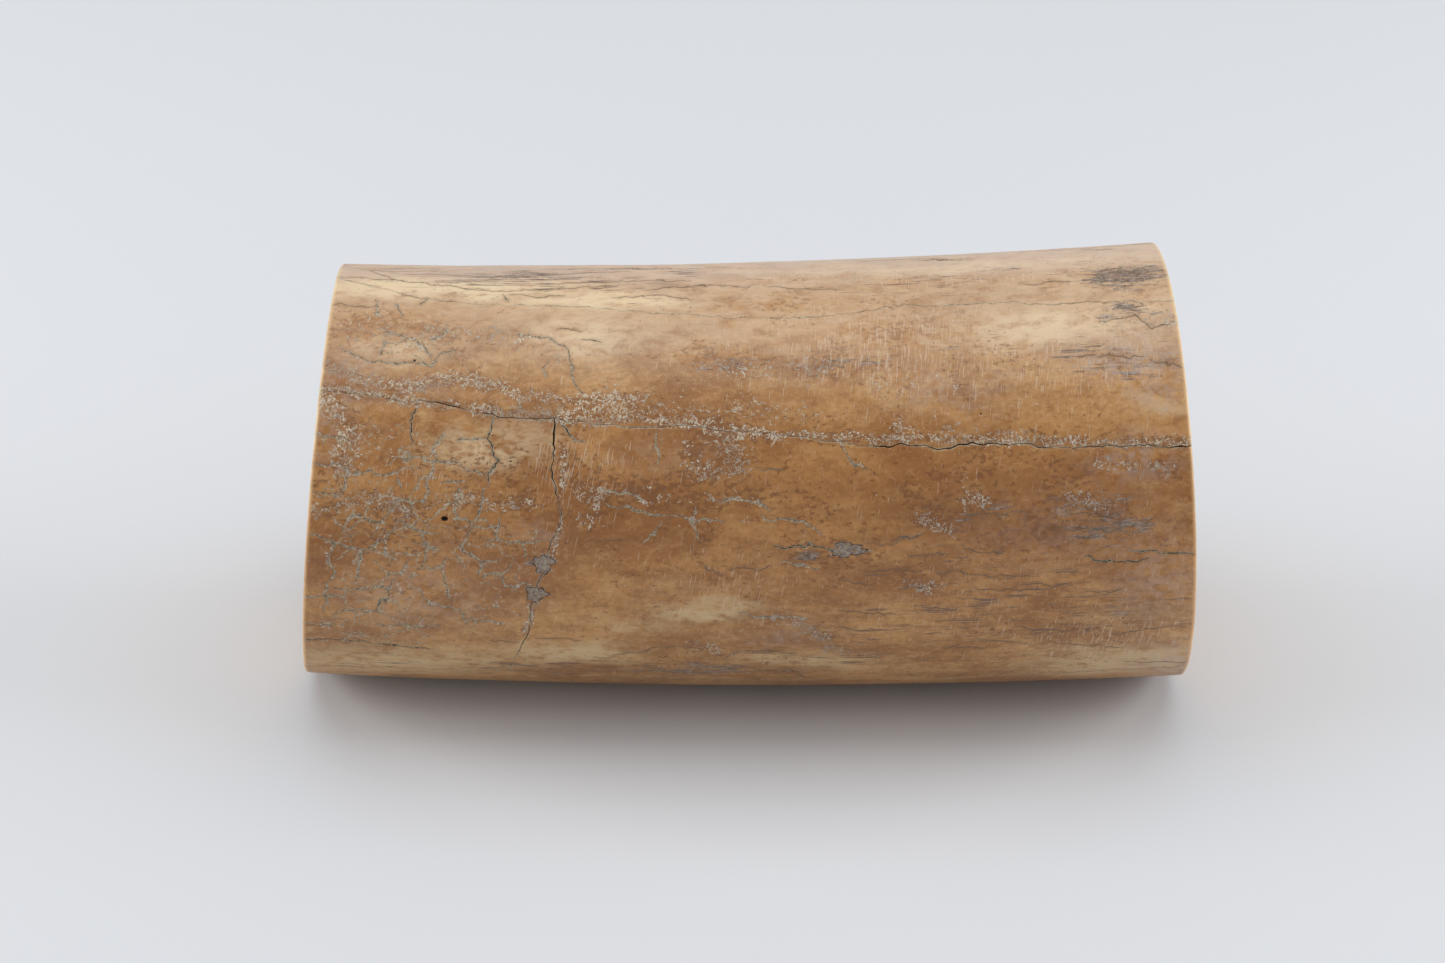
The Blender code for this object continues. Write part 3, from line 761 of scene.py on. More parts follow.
def bark_plate(name, low, high, start, end, spacing):
    """A plate between two long cracks, and from or to the cross crack where start or end is true."""
    spacing = spacing * 1
    turn = 360 if high.angle(0.0) < low.angle(0.0) else 0
    width = (high.angle(0.0) + turn - low.angle(0.0)) * MM_PER_DEGREE
    length = 2 * HALF_LENGTH
    if start or end:
        length = HALF_LENGTH + abs(float(CROSS_ROUTE(0.0))) * (1 if start else -1)
    across = edge_steps(width, spacing)[None, :]
    down = edge_steps(length, spacing)[:, None]
    along, angle = np.broadcast_arrays(down * 2 - 1, across * 0)
    # Its four edges are crooked and depend on each other, so they are found in a few rounds
    for _ in range(8):
        bottom = low.angle(along) + low.half_gap(along)
        top = high.angle(along) + turn - high.half_gap(along)
        angle = bottom + (top - bottom) * across
        first = cross_crack(angle, 1) if start else -1.0
        last = cross_crack(angle, -1) if end else 1.0
        along = first + (last - first) * down
    along = np.broadcast_to(along, angle.shape)
    x = along * HALF_LENGTH
    from_first, from_last = (along - first) * HALF_LENGTH, (last - along) * HALF_LENGTH
    from_side = np.minimum(angle - bottom, top - angle) * MM_PER_DEGREE
    far = np.full(x.shape, NO_EDGE)
    saw_rim = np.minimum(far if start else from_first, far if end else from_last)
    crack_rim = np.minimum(from_side, from_first if start else far)
    crack_rim = np.minimum(crack_rim, from_last if end else far)

    field = crack_field(x, angle)
    crust = band_strength(x, angle, CRUST_BANDS)
    tones = {label: patch_strength(x, angle, patches) for label, patches in PATCHES.items()}
    for plug in PLUGS:
        halo = np.exp(-(((plug_share(plug, x, angle) - 1.1) / 0.3) ** 2))
        crust = np.maximum(crust, 0.5 * halo)
        tones["grey"] = np.maximum(tones["grey"], halo)
    relief = skin_relief(x, angle, field, crust, saw_rim, crack_rim)
    radius = skin_radius(along, angle) + relief
    outer = tusk_points(along, angle, radius)
    outer[..., 2] = np.maximum(outer[..., 2], 0)
    inner = tusk_points(along, angle, bark_radius(along, angle))
    points, faces, material_index, source, depth = plate_mesh(outer, inner)
    skin_fields = {
        "line": field.signed,
        "line_away": field.distance,
        "line_width": field.width,
        "line_core_shade": field.dark,
        "line_pale": field.pale,
        "crust": crust,
        "pit": pit_cover(x, angle)[0],
        "saw_rim": np.minimum(saw_rim, EDGE_REACH),
        "crack_rim": np.minimum(crack_rim, EDGE_REACH),
        **tones,
    }
    fields = {label: np.ravel(values)[source] for label, values in skin_fields.items()}
    fields["depth"] = depth
    skin_mm = straightened(along, angle, radius).reshape(-1, 3)[source]
    inward = between(BARK, np.ravel(along)[source]) * depth
    scale = 1 - inward / np.linalg.norm(skin_mm[:, 1:], axis=1)
    skin_mm = skin_mm * np.stack([np.ones(len(scale)), scale, scale], axis=-1)
    materials = (bark_material(), sawn_bark_material())
    piece = add_piece(name, points, faces, skin_mm, materials, material_index, fields)


# ---- Dentine and silt ----


def turned_solid(points):
    """Faces of a grid of rings that closes on itself both ways, like a ring doughnut."""
    rings, sides = points.shape[:2]
    index = np.arange(rings * sides).reshape(rings, sides)
    after = np.roll(index, -1, axis=0)
    return quads(index, after, np.roll(after, -1, axis=1), np.roll(index, -1, axis=1))


def dentine_checks(end, outer_mm, inner_mm, seed):
    """Radial drying checks on one sawn end of a layer, as lines in mm on the cut."""
    chance = np.random.default_rng(seed + (7 if end > 0 else 0))
    lines = []
    for _ in range(round(8 + outer_mm * 0.7)):
        turn = chance.uniform(0, 2 * math.pi)
        length = min(chance.uniform(1.5, 11.0), outer_mm - inner_mm)
        first = inner_mm + chance.choice((0, 0.5, 1, 1)) * (outer_mm - inner_mm - length)
        steps = np.linspace(first, first + length, 9)
        drift = turn + np.cumsum(chance.normal(0, 0.22, 9)) / outer_mm
        lines.append([(r * math.cos(a), r * math.sin(a)) for r, a in zip(steps, drift)])
    for _ in range(3):
        turn, radius = chance.uniform(0, 2 * math.pi), chance.uniform(inner_mm, outer_mm)
        sweep = np.linspace(0, chance.uniform(0.2, 0.7), 14)
        radii = radius + np.cumsum(chance.normal(0, 0.07, 14))
        lines.append([(r * math.cos(turn + a), r * math.sin(turn + a)) for r, a in zip(radii, sweep)])
    return lines


def under_bark(along, angle):
    return bark_radius(along, angle) - GAP


def dentine_layer(name, outer_radius, outer_ends, inner_ends, sides, seed):
    """A tube of dentine with finely worked sawn ends. Its ends are radii at the tip and at the root."""
    inner_radius = layer_radius(inner_ends)
    angle = np.arange(sides)[None, :] * 360 / sides
    steps = max(8, round((outer_ends[1] - inner_ends[1]) / 0.5))
    side_along = np.linspace(-1, 1, 9)[1:-1, None]
    shares = np.concatenate([[0.0, 0.004, 0.012], np.linspace(0, 1, steps + 1)[1:-1], [0.988, 0.996, 1.0]])

    def end_face(end):
        along = np.full((len(shares), 1), float(end))
        share = shares[:, None]
        outer, inner = outer_radius(along, angle), inner_radius(along, angle)
        radius = outer + (inner - outer) * share
        points = tusk_points(along, angle, radius)
        flat = straightened(along, angle, radius)
        field = LineField(flat[..., 1:] + 0.06 * np.sin(flat[..., [2, 1]] * 3.7))
        for line in dentine_checks(end, outer_ends[end > 0], inner_ends[end > 0], seed):
            field.add(line, DENTINE_CHECK)
        away = field.distance.reshape(radius.shape)
        # Sunk along the checks, ringed like the growth, and worn at the outer rim
        sunk = field.depth.reshape(radius.shape) * np.exp(-((away / 0.35) ** 2))
        sunk += 0.03 * (1 + np.sin(radius * 2.6 + 0.6 * np.sin(np.radians(angle) * 3)))
        sunk += 0.12 * np.clip(1 - (share * (outer_ends[1] - inner_ends[1])) / 0.4, 0, 1) ** 2
        points[..., 0] -= end * sunk
        return points, flat, field

    def side(radius_of, along):
        radius = radius_of(along, angle)
        return tusk_points(along, angle, radius), straightened(along, angle, radius)

    tip_points, tip_flat, tip_field = end_face(-1)
    root_points, root_flat, root_field = end_face(1)
    outside, outside_flat = side(outer_radius, side_along)
    inside, inside_flat = side(inner_radius, side_along[::-1])
    points = np.concatenate([outside, root_points, inside, tip_points[::-1]])
    flat = np.concatenate([outside_flat, root_flat, inside_flat, tip_flat[::-1]])

    def joined(label, blank):
        root = getattr(root_field, label).reshape(root_points.shape[:2])
        tip = getattr(tip_field, label).reshape(tip_points.shape[:2])
        plain = np.full(outside.shape[:2], blank)
        return np.concatenate([plain, root, plain, tip[::-1]])

    fields = {
        "line": joined("signed", LineField.REACH),
        "line_away": joined("distance", LineField.REACH),
        "line_width": joined("width", 0.0),
        "line_core_shade": joined("dark", 0.0),
    }
    material = sawn_dentine_material()
    piece = add_piece(name, points, turned_solid(points), flat, (material,), fields=fields)


def capped_faces(rings, sides):
    """Faces of a stack of rings, with a lid on each end."""
    index = np.arange(rings * sides).reshape(rings, sides)
    after = np.roll(index, -1, axis=1)
    faces = quads(index[:-1], index[1:], after[1:], after[:-1])
    return faces + [index[0].tolist(), index[-1][::-1].tolist()]


def canal_silt():
    """Packed silt in the nerve canal, sunk and lumpy at both ends."""
    sides = 48
    angle = np.arange(sides)[None, :] * 360 / sides
    shares = np.linspace(0.04, 1, 12)[:, None]
    whole = layer_radius(CANAL_RADIUS, GAP)

    def end_face(end):
        along = np.full((len(shares), 1), float(end))
        points = tusk_points(along, angle, whole(along, angle) * shares)
        lumps = 0.10 * np.sin(points[..., 1] * 5.1 + 2) * np.sin(points[..., 2] * 4.3)
        points[..., 0] -= end * (0.45 - 0.25 * shares**2 + lumps)
        return points

    along = np.linspace(-0.985, 0.985, 12)[:, None]
    sides_points = tusk_points(along, angle, whole(along, angle))
    points = np.concatenate([end_face(-1), sides_points, end_face(1)[::-1]])
    faces = capped_faces(len(points), sides)
    piece = add_piece("nerve_canal_silt", points, faces, points, (silt_material(),))


def mineral_plug(name):
    """A crusty lump with a ragged outline, level with the skin round it."""
    (centre_x, centre_angle), (length, width) = PLUGS[name]
    sides = 72
    turn = np.arange(sides)[None, :] * 2 * math.pi / sides
    top = np.linspace(0.03, 1.0, 20)[:, None]
    wall = np.full((5, 1), 1.0)
    floor = np.linspace(0.96, 0.05, 8)[:, None]
    share = np.concatenate([top, wall, floor])
    level = np.concatenate([top * 0, np.linspace(0.2, 1, 5)[:, None], floor * 0 + 1])
    reach = share * 1.05 * plug_outline(name, turn)
    x = centre_x + np.cos(turn) * reach * length / 2
    angle = centre_angle + np.sin(turn) * reach * width / 2 / MM_PER_DEGREE
    along = x / HALF_LENGTH
    lumps = 0.09 * rough_noise(x, angle, 0.8, 701) - 0.06
    dome = -0.04 * np.clip(share - 0.75, 0, 1) / 0.25
    depth = (lumps + dome) * (1 - level) - level * PLUG_DEPTH
    radius = skin_radius(along, angle) + depth
    points = tusk_points(along, angle, radius)
    faces = capped_faces(len(share), sides)
    tusk_mm = straightened(along, angle, radius)
    piece = add_piece(name, points, faces, tusk_mm, (mineral_material(),))


# ---- Materials ----


class Shader:
    """A material, with short names for the nodes that it is made of."""

    def __init__(self, name):
        self.material = bpy.data.materials.new(name)
        self.material.use_nodes = True
        self.tree = self.material.node_tree
        self.principled = self.tree.nodes["Principled BSDF"]
        self.colour = None

    def node(self, kind, inputs={}, **settings):
        """A node with its settings, and the values of its inputs by their names or numbers."""
        made = self.tree.nodes.new("ShaderNode" + kind)
        for name, value in settings.items():
            setattr(made, name, value)
        for socket, value in inputs.items():
            self.link(value, made.inputs[socket])
        return made

    def link(self, value, socket):
        """Gives a socket its value: a number, a node's output, or the name of a field on the mesh."""
        if isinstance(value, str):
            value = self.node("Attribute", attribute_name=value).outputs["Fac"]
        if isinstance(value, bpy.types.NodeSocket):
            self.tree.links.new(value, socket)
        else:
            socket.default_value = value

    def place(self, stretch=(1, 1, 1), turn=(0, 0, 0)):
        """Millimetres on the straightened tusk, turned, and then with each axis times its stretch."""
        value = self.node("Attribute", attribute_name="tusk_mm").outputs["Vector"]
        for label, setting in (("Rotation", turn), ("Scale", stretch)):
            value = self.node("Mapping", {"Vector": value, label: setting}).outputs["Vector"]
        return value

    def noise(self, place, scale, detail=3.0, roughness=0.55, distortion=0.0):
        inputs = {"Vector": place, "Scale": scale, "Detail": detail, "Roughness": roughness}
        return self.node("TexNoise", {**inputs, "Distortion": distortion}).outputs["Fac"]

    def math(self, operation, *values):
        return self.node("Math", dict(enumerate(values)), operation=operation).outputs[0]

    def ramp(self, value, low, high, to_low=0.0, to_high=1.0):
        """Rises smoothly from to_low, at low, to to_high, at high."""
        inputs = {"Value": value, "From Min": low, "From Max": high, "To Min": to_low, "To Max": to_high}
        return self.node("MapRange", inputs, interpolation_type="SMOOTHSTEP").outputs["Result"]

    def patchy(self, value, level, cover, width):
        """1 where a value passes a level that is lower where there is more cover."""
        start = self.math("SUBTRACT", level, cover)
        return self.ramp(value, start, self.math("ADD", start, width))

    def threads(self, value, half_width, core):
        """Thin lines where a noise crosses its middle."""
        return self.ramp(self.math("ABSOLUTE", self.math("SUBTRACT", value, 0.5)), half_width, core)

    def times(self, first, *others):
        for other in others:
            first = self.math("MULTIPLY", first, other)
        return first

    def plus(self, first, *others):
        for other in others:
            first = self.math("ADD", first, other)
        return first

    def mix(self, share, first, second, blend="MIX"):
        """Goes from the first colour, where the share is 0, to the second, where it is 1."""
        first, second = ((*tone, 1.0) if isinstance(tone, tuple) else tone for tone in (first, second))
        inputs = {0: share, 6: first, 7: second}
        return self.node("Mix", inputs, data_type="RGBA", blend_type=blend).outputs[2]

    def paint(self, share, tone, blend="MIX"):
        """Lays a share of a tone over the colour so far."""
        self.colour = self.mix(share, self.colour, tone, blend)

    def part(self, place, axis):
        """Millimetres from the axis of the tusk: Z is up and Y is to the back."""
        return self.node("SeparateXYZ", {0: place}).outputs[axis]

    def shaken(self, place, scale, amount):
        """The place, moved about by up to an amount in mm."""
        moved = self.node("TexNoise", {"Vector": place, "Scale": scale, "Detail": 3.0}).outputs["Color"]
        moved = self.node("VectorMath", {0: moved, "Scale": amount}, operation="SCALE").outputs[0]
        return self.node("VectorMath", {0: place, 1: moved}, operation="ADD").outputs[0]

    def craze_lines(self, scale, half_width, shift):
        """A broken net of thin cracks, where the craze field lets it show."""
        moved = self.place((0.8, 1, 1))
        inputs = {"Vector": self.shaken(moved, 0.6, 1.7), "Scale": scale}
        away = self.node("TexVoronoi", inputs, feature="DISTANCE_TO_EDGE").outputs["Distance"]
        net = self.ramp(away, (half_width + 0.07) * scale, half_width * scale * 0.5)
        breaks = self.noise(self.shaken(moved, 0.2, shift), 0.30, 2.0)
        return self.times(net, self.patchy(breaks, 0.80, self.times("craze", 0.43), 0.07))

    def bump(self, height, depth_mm, strength=1.0):
        inputs = {"Height": height, "Distance": depth_mm * MILLIMETRE, "Strength": strength}
        self.link(self.node("Bump", inputs).outputs["Normal"], self.principled.inputs["Normal"])

    def finish(self, roughness, specular=0.5, glow=0.0):
        inputs = {
            "Base Color": self.colour,
            "Roughness": roughness,
            "Specular IOR Level": specular,
            "Subsurface Weight": glow,
            "Subsurface Radius": LIGHT_SHARES,
            "Subsurface Scale": LIGHT_DEPTH * MILLIMETRE,
        }
        for label, value in inputs.items():
            self.link(value, self.principled.inputs[label])
        return self.material


def once(make):
    """Keeps the material that a function makes, so that every piece shares it."""
    kept = []

    def get():
        if not kept:
            kept.append(make())
        return kept[0]

    return get


def line_mask(shader, widen=1.0):
    """1 inside the drying cracks that the mesh keeps as distances, with sharp edges."""
    across = shader.math("ABSOLUTE", "line")
    width = shader.times("line_width", widen)
    edge = shader.math("ADD", width, 0.05)
    inside = shader.ramp(shader.math("SUBTRACT", edge, across), 0.0, 0.07)
    near = shader.math("LESS_THAN", "line_away", 0.5)
    return shader.times(inside, near)


@once
def bark_material():
    """Hand-polished fossil bark: mottled tan and brown, with pale mineral in its cracks."""
    s = Shader("polished_bark")
    place = s.place()
    grain = s.place((0.14, 1, 1))
    long_grain = s.place((0.05, 1, 1))
    high = s.part(place, "Z")

    # Broad soft tones, a little longer than they are wide
    broad = s.noise(s.place((0.5, 1, 1)), 0.085, 4.0, 0.55, 0.3)
    s.colour = s.mix(s.ramp(broad, 0.36, 0.64), (0.375, 0.170, 0.052), (0.575, 0.305, 0.112))
    mottle = s.noise(s.place((0.6, 1, 1)), 0.30, 5.0, 0.66, 0.4)
    s.paint(s.ramp(mottle, 0.50, 0.68, 0, 0.50), (0.67, 0.42, 0.20))
    s.paint(s.ramp(mottle, 0.49, 0.34, 0, 0.55), (0.28, 0.115, 0.034))
    streaks = s.ramp(s.noise(grain, 0.75, 4.0, 0.62), 0.52, 0.36)
    streaks = s.times(streaks, s.plus(0.12, s.times("fibre", 0.45)))
    s.paint(streaks, (0.28, 0.13, 0.05))
    cloud = s.noise(s.place((0.8, 1, 1)), 1.1, 4.0, 0.7)
    s.paint(s.ramp(cloud, 0.50, 0.36, 0, 0.38), (0.29, 0.132, 0.046))
    s.paint(s.ramp(cloud, 0.52, 0.66, 0, 0.30), (0.70, 0.47, 0.26))

    # Darker and more saturated along the front at middle heights, and a little darker below the crown
    front = s.times(s.ramp(high, -16.0, 5.0), s.ramp(high, 31.0, 18.0))
    front_tint = s.times(front, s.ramp(broad, 0.72, 0.40, 0.55, 1))
    s.paint(front_tint, (0.94, 0.83, 0.66), "MULTIPLY")
    s.paint(s.ramp(high, 34.0, 27.0), (0.97, 0.95, 0.91), "MULTIPLY")

    # The crown is painted lighter and a little grey: partly real bleaching, partly painted sheen, most of
    # all past the top where it faces the light behind
    bleach_and_sheen = s.ramp(high, 32.0, 42.5, 0, 0.62)
    s.paint(s.times(bleach_and_sheen, s.ramp(mottle, 0.30, 0.60, 0.5, 1)), (0.70, 0.53, 0.37))
    past_top = s.ramp(s.part(place, "Y"), -3.0, 7.0)
    s.paint(s.times(bleach_and_sheen, past_top, 0.62), (0.82, 0.68, 0.58))

    # Listed patches with ragged edges
    ragged = s.noise(s.place((0.55, 1, 1)), 0.5, 5.0, 0.68, 0.3)
    brown = s.times("brown", s.ramp(ragged, 0.30, 0.62))
    brown_tone = s.mix(s.ramp(high, 10.0, 36.0), (0.29, 0.125, 0.040), (0.47, 0.220, 0.064))
    s.paint(s.times(brown, s.ramp(high, 10.0, 36.0, 0.72, 0.88)), brown_tone)
    cream = s.times("cream", s.ramp(ragged, 0.78, 0.42))
    cream_tone = s.mix(s.ramp(high, 0.0, 34.0), (0.66, 0.475, 0.255), (0.81, 0.63, 0.405))
    s.paint(s.ramp(cream, 0.08, 0.85), cream_tone)

    # Red-brown freckles, close together where the crust is
    freckle_noise = s.noise(s.place((0.7, 1, 1)), 1.25, 3.0, 0.6)
    freckle_area = s.ramp(s.noise(place, 0.13, 3.0), 0.42, 0.62, 0, 0.10)
    freckle_cover = s.plus(s.times("crust", 0.20), s.times("brown", 0.16), freckle_area)
    freckles = s.patchy(freckle_noise, 0.70, freckle_cover, 0.08)
    s.paint(s.times(freckles, s.ramp(high, 41.0, 28.0, 0.42, 0.70)), (0.205, 0.078, 0.024))

    # Dark fibres along the grain
    fibre = s.noise(long_grain, 2.3, 3.0, 0.62)
    fibres = s.patchy(fibre, 0.74, s.times("fibre", 0.245), 0.05)
    fibre_break = s.ramp(s.noise(s.place((0.25, 1, 1)), 0.5, 3.0), 0.46, 0.58)
    s.paint(s.times(fibres, fibre_break, 0.88), (0.155, 0.098, 0.068))

    # Grey stain
    stain_noise = s.noise(s.place((0.16, 1, 1)), 1.0, 4.0, 0.68)
    stain = s.patchy(stain_noise, 0.82, s.times("grey", 0.37), 0.08)
    lilac = s.ramp(s.noise(s.place((0.4, 1, 1)), 2.0), 0.42, 0.58)
    stain_tone = s.mix(lilac, (0.125, 0.083, 0.058), (0.33, 0.27, 0.235))
    s.paint(s.times(stain, 0.86), stain_tone)
    speck_noise = s.noise(s.place((0.5, 1, 1)), 1.8, 3.0, 0.65)
    specks = s.patchy(speck_noise, 0.84, s.times("grey", 0.335), 0.06)
    s.paint(s.times(specks, 0.66), (0.165, 0.125, 0.085))

    # A thin pink-grey haze of ground dust
    haze = s.times("haze", s.ramp(s.noise(place, 0.5, 3.0), 0.35, 0.60))
    haze_tone = s.mix(s.ramp(high, 30.0, 41.0), (0.54, 0.41, 0.35), (0.68, 0.54, 0.46))
    s.paint(s.times(haze, 0.50), haze_tone)

    # Fine light sanding scratches round the tusk
    scratch_noise = s.noise(s.place((3.0, 0.24, 0.24), (0, -0.18, 0)), 1.3, 2.0, 0.5)
    scratches = s.patchy(scratch_noise, 0.66, s.times("scratch", 0.13), 0.10)
    s.paint(s.times(scratches, 0.38), (0.80, 0.65, 0.50))

    # Fine craze cracks, filled with grey-tan mineral
    craze = s.craze_lines(0.17, 0.17, 11.0)
    craze = s.math("MAXIMUM", craze, s.times(s.craze_lines(0.33, 0.09, 3.0), 0.5))

    # Drying cracks, with a stain beside them
    lines = line_mask(s)
    beside = s.ramp("line_away", 0.85, 0.1)
    beside = s.times(beside, s.ramp("line_width", 0.02, 0.08))
    s.paint(s.times(beside, 0.25), (0.24, 0.115, 0.048))
    grit = s.ramp(s.noise(place, 1.8), 0.38, 0.60)
    filling = s.mix(grit, (0.235, 0.175, 0.112), (0.52, 0.425, 0.295))
    s.paint(s.times(craze, 0.80), filling)
    filling = s.mix("line_pale", (0.185, 0.130, 0.086), filling)
    fading = s.plus(s.times("line_pale", 0.4), s.ramp(s.noise(place, 0.5), 0.36, 0.56, 0.35, 0.9))
    s.paint(s.times(lines, fading), filling)
    # Painted shade: near black in the open gap down the middle of each crack, in patches
    core = s.times(line_mask(s, 0.33), s.ramp(s.noise(place, 0.33), 0.66, 0.48), "line_core_shade")
    s.paint(core, (0.022, 0.017, 0.014))
    lip = s.times(s.ramp("crack_rim", 0.34, 0.04), s.ramp(s.noise(place, 0.45), 0.34, 0.58))
    lip_tone = s.mix(s.ramp(s.noise(place, 1.3), 0.40, 0.58), (0.23, 0.175, 0.115), (0.52, 0.42, 0.29))
    s.paint(s.times(lip, 0.80), lip_tone)

    # Mineral crust: short pale curls with brown between them
    curl_noise = s.noise(place, 1.12, 2.0, 0.55, 0.7)
    curl = s.threads(curl_noise, 0.060, 0.026)
    curl_break = s.noise(place, 1.0, 2.0, 0.6)
    gritty = s.times(beside, "line_pale", 0.17)
    scattered = s.ramp(s.noise(place, 0.16, 2.0), 0.38, 0.62, -0.05, 0.09)
    curl_cover = s.plus(s.times("crust", 0.46), gritty, scattered)
    curl = s.times(curl, s.patchy(curl_break, 0.76, curl_cover, 0.05))
    s.paint(s.times(s.ramp("crust", 0.15, 0.9), 0.42), (0.29, 0.132, 0.050))
    pale_tone = s.math("MULTIPLY_ADD", s.noise(place, 2.2), 0.5, s.times(s.noise(place, 0.12), 0.5))
    pale = s.mix(s.ramp(pale_tone, 0.42, 0.58), (0.42, 0.345, 0.265), (0.74, 0.66, 0.52))
    pale = s.mix(s.times("grey", 0.8), pale, (0.36, 0.30, 0.27))
    s.paint(s.times(curl, 0.84), pale)

    # Painted shade: the pits painted near black where their depth would be in shadow
    s.paint(s.ramp("pit", 0.3, 0.7), (0.025, 0.018, 0.014))

    # Painted glow: the light that comes through the thin edge at each saw cut, painted into the colour
    rim = s.ramp("saw_rim", 0.9, 0.05)
    painted_glow_tone = s.mix(s.ramp(high, 2.0, 30.0), (0.82, 0.53, 0.28), (0.84, 0.65, 0.38))
    s.paint(s.times(rim, 0.60), painted_glow_tone)

    gloss = s.ramp(s.noise(grain, 0.5, 3.0), 0.3, 0.7, 0.30, 0.46)
    roughness = s.plus(gloss, s.times(curl, 0.35), s.times(lines, 0.35), s.times(scratches, 0.12))
    height = s.plus(s.times(curl, 0.8), s.times(lines, -1.0), s.times(scratches, -0.12))
    height = s.plus(height, s.times(craze, -0.6), s.times(freckles, -0.15), s.times(cloud, 0.25))
    s.bump(height, 0.10, 0.8)
    return s.finish(roughness, 0.5, 0.22)


@once
def sawn_bark_material():
    """The cut edge of the bark: dark just under the skin, paler inward, with saw marks."""
    s = Shader("sawn_bark")
    place = s.place()
    s.colour = s.mix(s.ramp("depth", 0.0, 0.35), (0.33, 0.16, 0.062), (0.52, 0.32, 0.155))
    s.paint(s.ramp("depth", 0.6, 1.0, 0, 0.7), (0.30, 0.155, 0.07))
    rings = s.noise(s.place((0.3, 1, 1)), 0.8, 4.0, 0.6)
    s.paint(s.ramp(rings, 0.45, 0.7, 0, 0.5), (0.66, 0.46, 0.25))
    s.paint(s.ramp(rings, 0.45, 0.25, 0, 0.5), (0.20, 0.10, 0.045))
    saw = s.noise(s.place((0.2, 0.15, 3.0)), 1.1, 2.0)
    s.bump(s.plus(s.times(saw, 0.6), s.times(s.noise(place, 2.0), 0.4)), 0.06, 0.7)
    return s.finish(s.ramp(saw, 0.3, 0.7, 0.42, 0.6), 0.4, 0.15)


@once
def sawn_dentine_material():
    """Sawn fossil dentine: cream to tan growth rings, faint crossing arcs and dark drying checks."""
    s = Shader("sawn_dentine")
    place = s.place()
    y, z = s.part(place, "Y"), s.part(place, "Z")
    radius = s.math("SQRT", s.plus(s.times(y, y), s.times(z, z)))
    turn = s.math("ARCTAN2", z, y)
    wavy = s.plus(radius, s.times(s.noise(place, 0.12, 3.0), 5.0))
    rings = s.math("SINE", s.times(wavy, 2.1))
    fine_rings = s.math("SINE", s.times(wavy, 7.3))
    s.colour = s.mix(s.ramp(radius, 4.0, 36.0), (0.52, 0.345, 0.18), (0.66, 0.465, 0.265))
    s.paint(s.ramp(rings, -1.0, 1.0, 0, 0.28), (0.43, 0.255, 0.115))
    s.paint(s.ramp(fine_rings, -1.0, 1.0, 0, 0.12), (0.80, 0.65, 0.43))
    right_arcs = s.math("SINE", s.plus(s.times(turn, 96.0), s.times(radius, 1.9)))
    left_arcs = s.math("SINE", s.math("SUBTRACT", s.times(turn, 96.0), s.times(radius, 1.9)))
    arcs = s.times(s.times(right_arcs, left_arcs), s.ramp(radius, 12.0, 30.0))
    s.paint(s.ramp(arcs, -0.5, 0.9, 0, 0.22), (0.50, 0.32, 0.16))
    stain = s.ramp(s.noise(place, 0.08, 5.0, 0.65), 0.38, 0.66, 0, 0.72)
    s.paint(stain, (0.38, 0.205, 0.088))
    speckle = s.ramp(s.noise(place, 0.9, 4.0, 0.7), 0.50, 0.68, 0, 0.35)
    s.paint(speckle, (0.27, 0.145, 0.062))
    near_edge = s.ramp(radius, 33.0, 38.0, 0, 0.55)
    s.paint(near_edge, (0.42, 0.245, 0.11))
    beside = s.times(s.ramp("line_away", 0.7, 0.05), s.ramp("line_width", 0.01, 0.05))
    s.paint(s.times(beside, 0.40), (0.29, 0.15, 0.062))
    # Painted shade: the drying checks painted near black in their gaps
    s.paint(s.times(line_mask(s), 0.9), (0.05, 0.035, 0.025))
    saw = s.noise(s.place((0.2, 0.15, 3.0)), 1.0, 2.0)
    height = s.plus(s.times(saw, 0.5), s.times(line_mask(s), -1.0), s.times(rings, 0.1))
    s.bump(height, 0.07, 0.7)
    return s.finish(s.ramp(saw, 0.3, 0.7, 0.36, 0.55), 0.45, 0.2)


@once
def silt_material():
    """Dry grey-brown silt with pale grains."""
    s = Shader("packed_silt")
    place = s.place()
    grains = s.noise(place, 3.0, 4.0, 0.7)
    s.colour = s.mix(s.ramp(grains, 0.35, 0.65), (0.10, 0.075, 0.052), (0.27, 0.215, 0.155))
    s.bump(grains, 0.15)
    return s.finish(s.ramp(grains, 0.3, 0.7, 0.8, 0.95), 0.2)


@once
def mineral_material():
    """Hard grey mineral with a crusty, slightly lilac surface."""
    s = Shader("grey_mineral")
    place = s.place()
    lumps = s.noise(place, 1.6, 4.0, 0.65)
    s.colour = s.mix(s.ramp(lumps, 0.35, 0.65), (0.17, 0.13, 0.105), (0.34, 0.275, 0.235))
    veins = s.threads(s.noise(place, 1.0), 0.05, 0.015)
    s.paint(s.times(veins, 0.6), (0.46, 0.38, 0.27))
    flecks = s.ramp(s.noise(place, 1.2, 3.0, 0.6), 0.54, 0.62, 0, 0.75)
    s.paint(flecks, (0.30, 0.175, 0.09))
    s.bump(lumps, 0.16)
    return s.finish(s.ramp(lumps, 0.3, 0.7, 0.62, 0.85), 0.35, 0.05)


# ---- Scene ----


def build_tusk():
    bark_plate("crown_bark_plate", CROWN, BACK, False, False, 0.36)
    bark_plate("shoulder_bark_plate", FACE, CROWN, False, False, 0.28)
    bark_plate("front_tip_bark_plate", LOWER, FACE, False, True, 0.20)
    bark_plate("front_root_bark_plate", LOWER, FACE, True, False, 0.28)
    bark_plate("belly_bark_plate", BELLY, LOWER, False, False, 0.45)
    bark_plate("back_bark_plate", BACK, BELLY, False, False, 0.42)
    outer, middle, core = OUTER_DENTINE_RADIUS, MIDDLE_DENTINE_RADIUS, CORE_RADIUS
    dentine_layer("outer_dentine_sleeve", under_bark, outer, middle, 640, 31)
    dentine_layer("middle_dentine_sleeve", layer_radius(middle, GAP), middle, core, 480, 32)
    dentine_layer("dentine_core", layer_radius(core, GAP), core, CANAL_RADIUS, 320, 33)
    canal_silt()
    for name in PLUGS:
        mineral_plug(name)


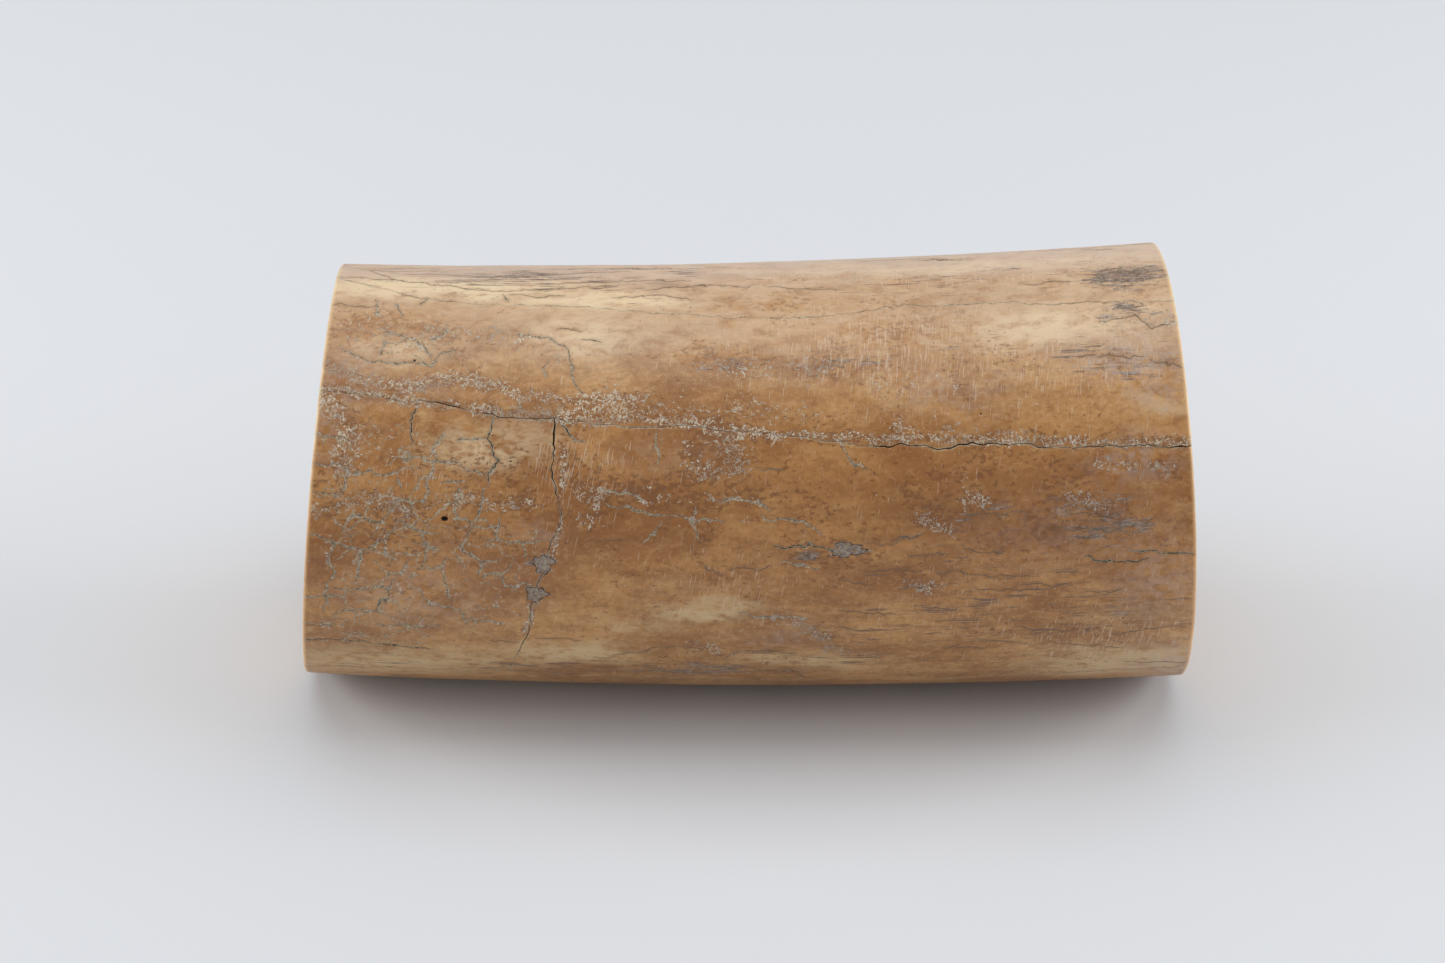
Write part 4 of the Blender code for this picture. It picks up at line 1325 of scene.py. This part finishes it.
def floor():
    """A plain pale floor."""
    mesh = bpy.data.meshes.new("floor")
    reach = 9.0
    corners = [(-reach, -reach, 0), (reach, -reach, 0), (reach, reach, 0), (-reach, reach, 0)]
    mesh.from_pydata(corners, [], [(0, 1, 2, 3)])
    s = Shader("pale_floor")
    speck = s.node("TexNoise", {"Scale": 40.0})
    tone = s.ramp(speck.outputs["Fac"], 0.3, 0.7)
    s.colour = s.mix(tone, (0.712, 0.728, 0.758), (0.722, 0.738, 0.768))
    mesh.materials.append(s.finish(0.8, 0.1))
    obj = bpy.data.objects.new("floor", mesh)
    bpy.context.scene.collection.objects.link(obj)


def light(name, location, size, power):
    """A soft light that points at the middle of the floor, in metres and watts."""
    lamp = bpy.data.lights.new(name, "AREA")
    lamp.shape = "RECTANGLE"
    lamp.size, lamp.size_y = size
    lamp.energy = power
    obj = bpy.data.objects.new(name, lamp)
    obj.location = location
    way = Vector() - Vector(location)
    obj.rotation_euler = way.to_track_quat("-Z", "Y").to_euler()
    bpy.context.scene.collection.objects.link(obj)


def lights():
    """A large soft light overhead, one at each side and weak ones in front and behind, in a pale room."""
    light("overhead", (0.0, 0.12, 0.95), (1.2, 0.8), 3.65)
    light("left_side", (-0.95, 0.0, 0.36), (0.8, 0.6), 6.6)
    light("right_side", (0.95, 0.0, 0.36), (0.8, 0.6), 6.6)
    light("in_front", (0.0, -0.95, 0.35), (1.4, 0.5), 0.35)
    light("behind", (0.0, 0.85, 0.55), (1.4, 0.6), 0.4)
    world = bpy.data.worlds.new("room")
    world.use_nodes = True
    background = world.node_tree.nodes["Background"]
    background.inputs["Color"].default_value = (0.95, 0.975, 1.0, 1)
    background.inputs["Strength"].default_value = 0.335
    bpy.context.scene.world = world


# The camera looks along +Y and down on the tusk
CAMERA_ELEVATION = 30.0
CAMERA_DISTANCE = 900.0
CAMERA_AIM = (-4.6, -1.55, 39.6)
CAMERA_LENS = 112.1
CAMERA_ROLL = -0.05


def camera():
    data = bpy.data.cameras.new("camera")
    data.sensor_width = 36.0
    data.lens = CAMERA_LENS
    data.clip_start, data.clip_end = 0.01, 20.0
    obj = bpy.data.objects.new("camera", data)
    tilt = math.radians(CAMERA_ELEVATION)
    back = np.array((0.0, -math.cos(tilt), math.sin(tilt)))
    obj.location = (np.array(CAMERA_AIM) + back * CAMERA_DISTANCE) * MILLIMETRE
    obj.rotation_euler = (math.radians(90) - tilt, math.radians(CAMERA_ROLL), 0)
    bpy.context.scene.collection.objects.link(obj)
    bpy.context.scene.camera = obj


build_tusk()
floor()
lights()
camera()
bpy.context.scene.view_settings.view_transform = "Standard"
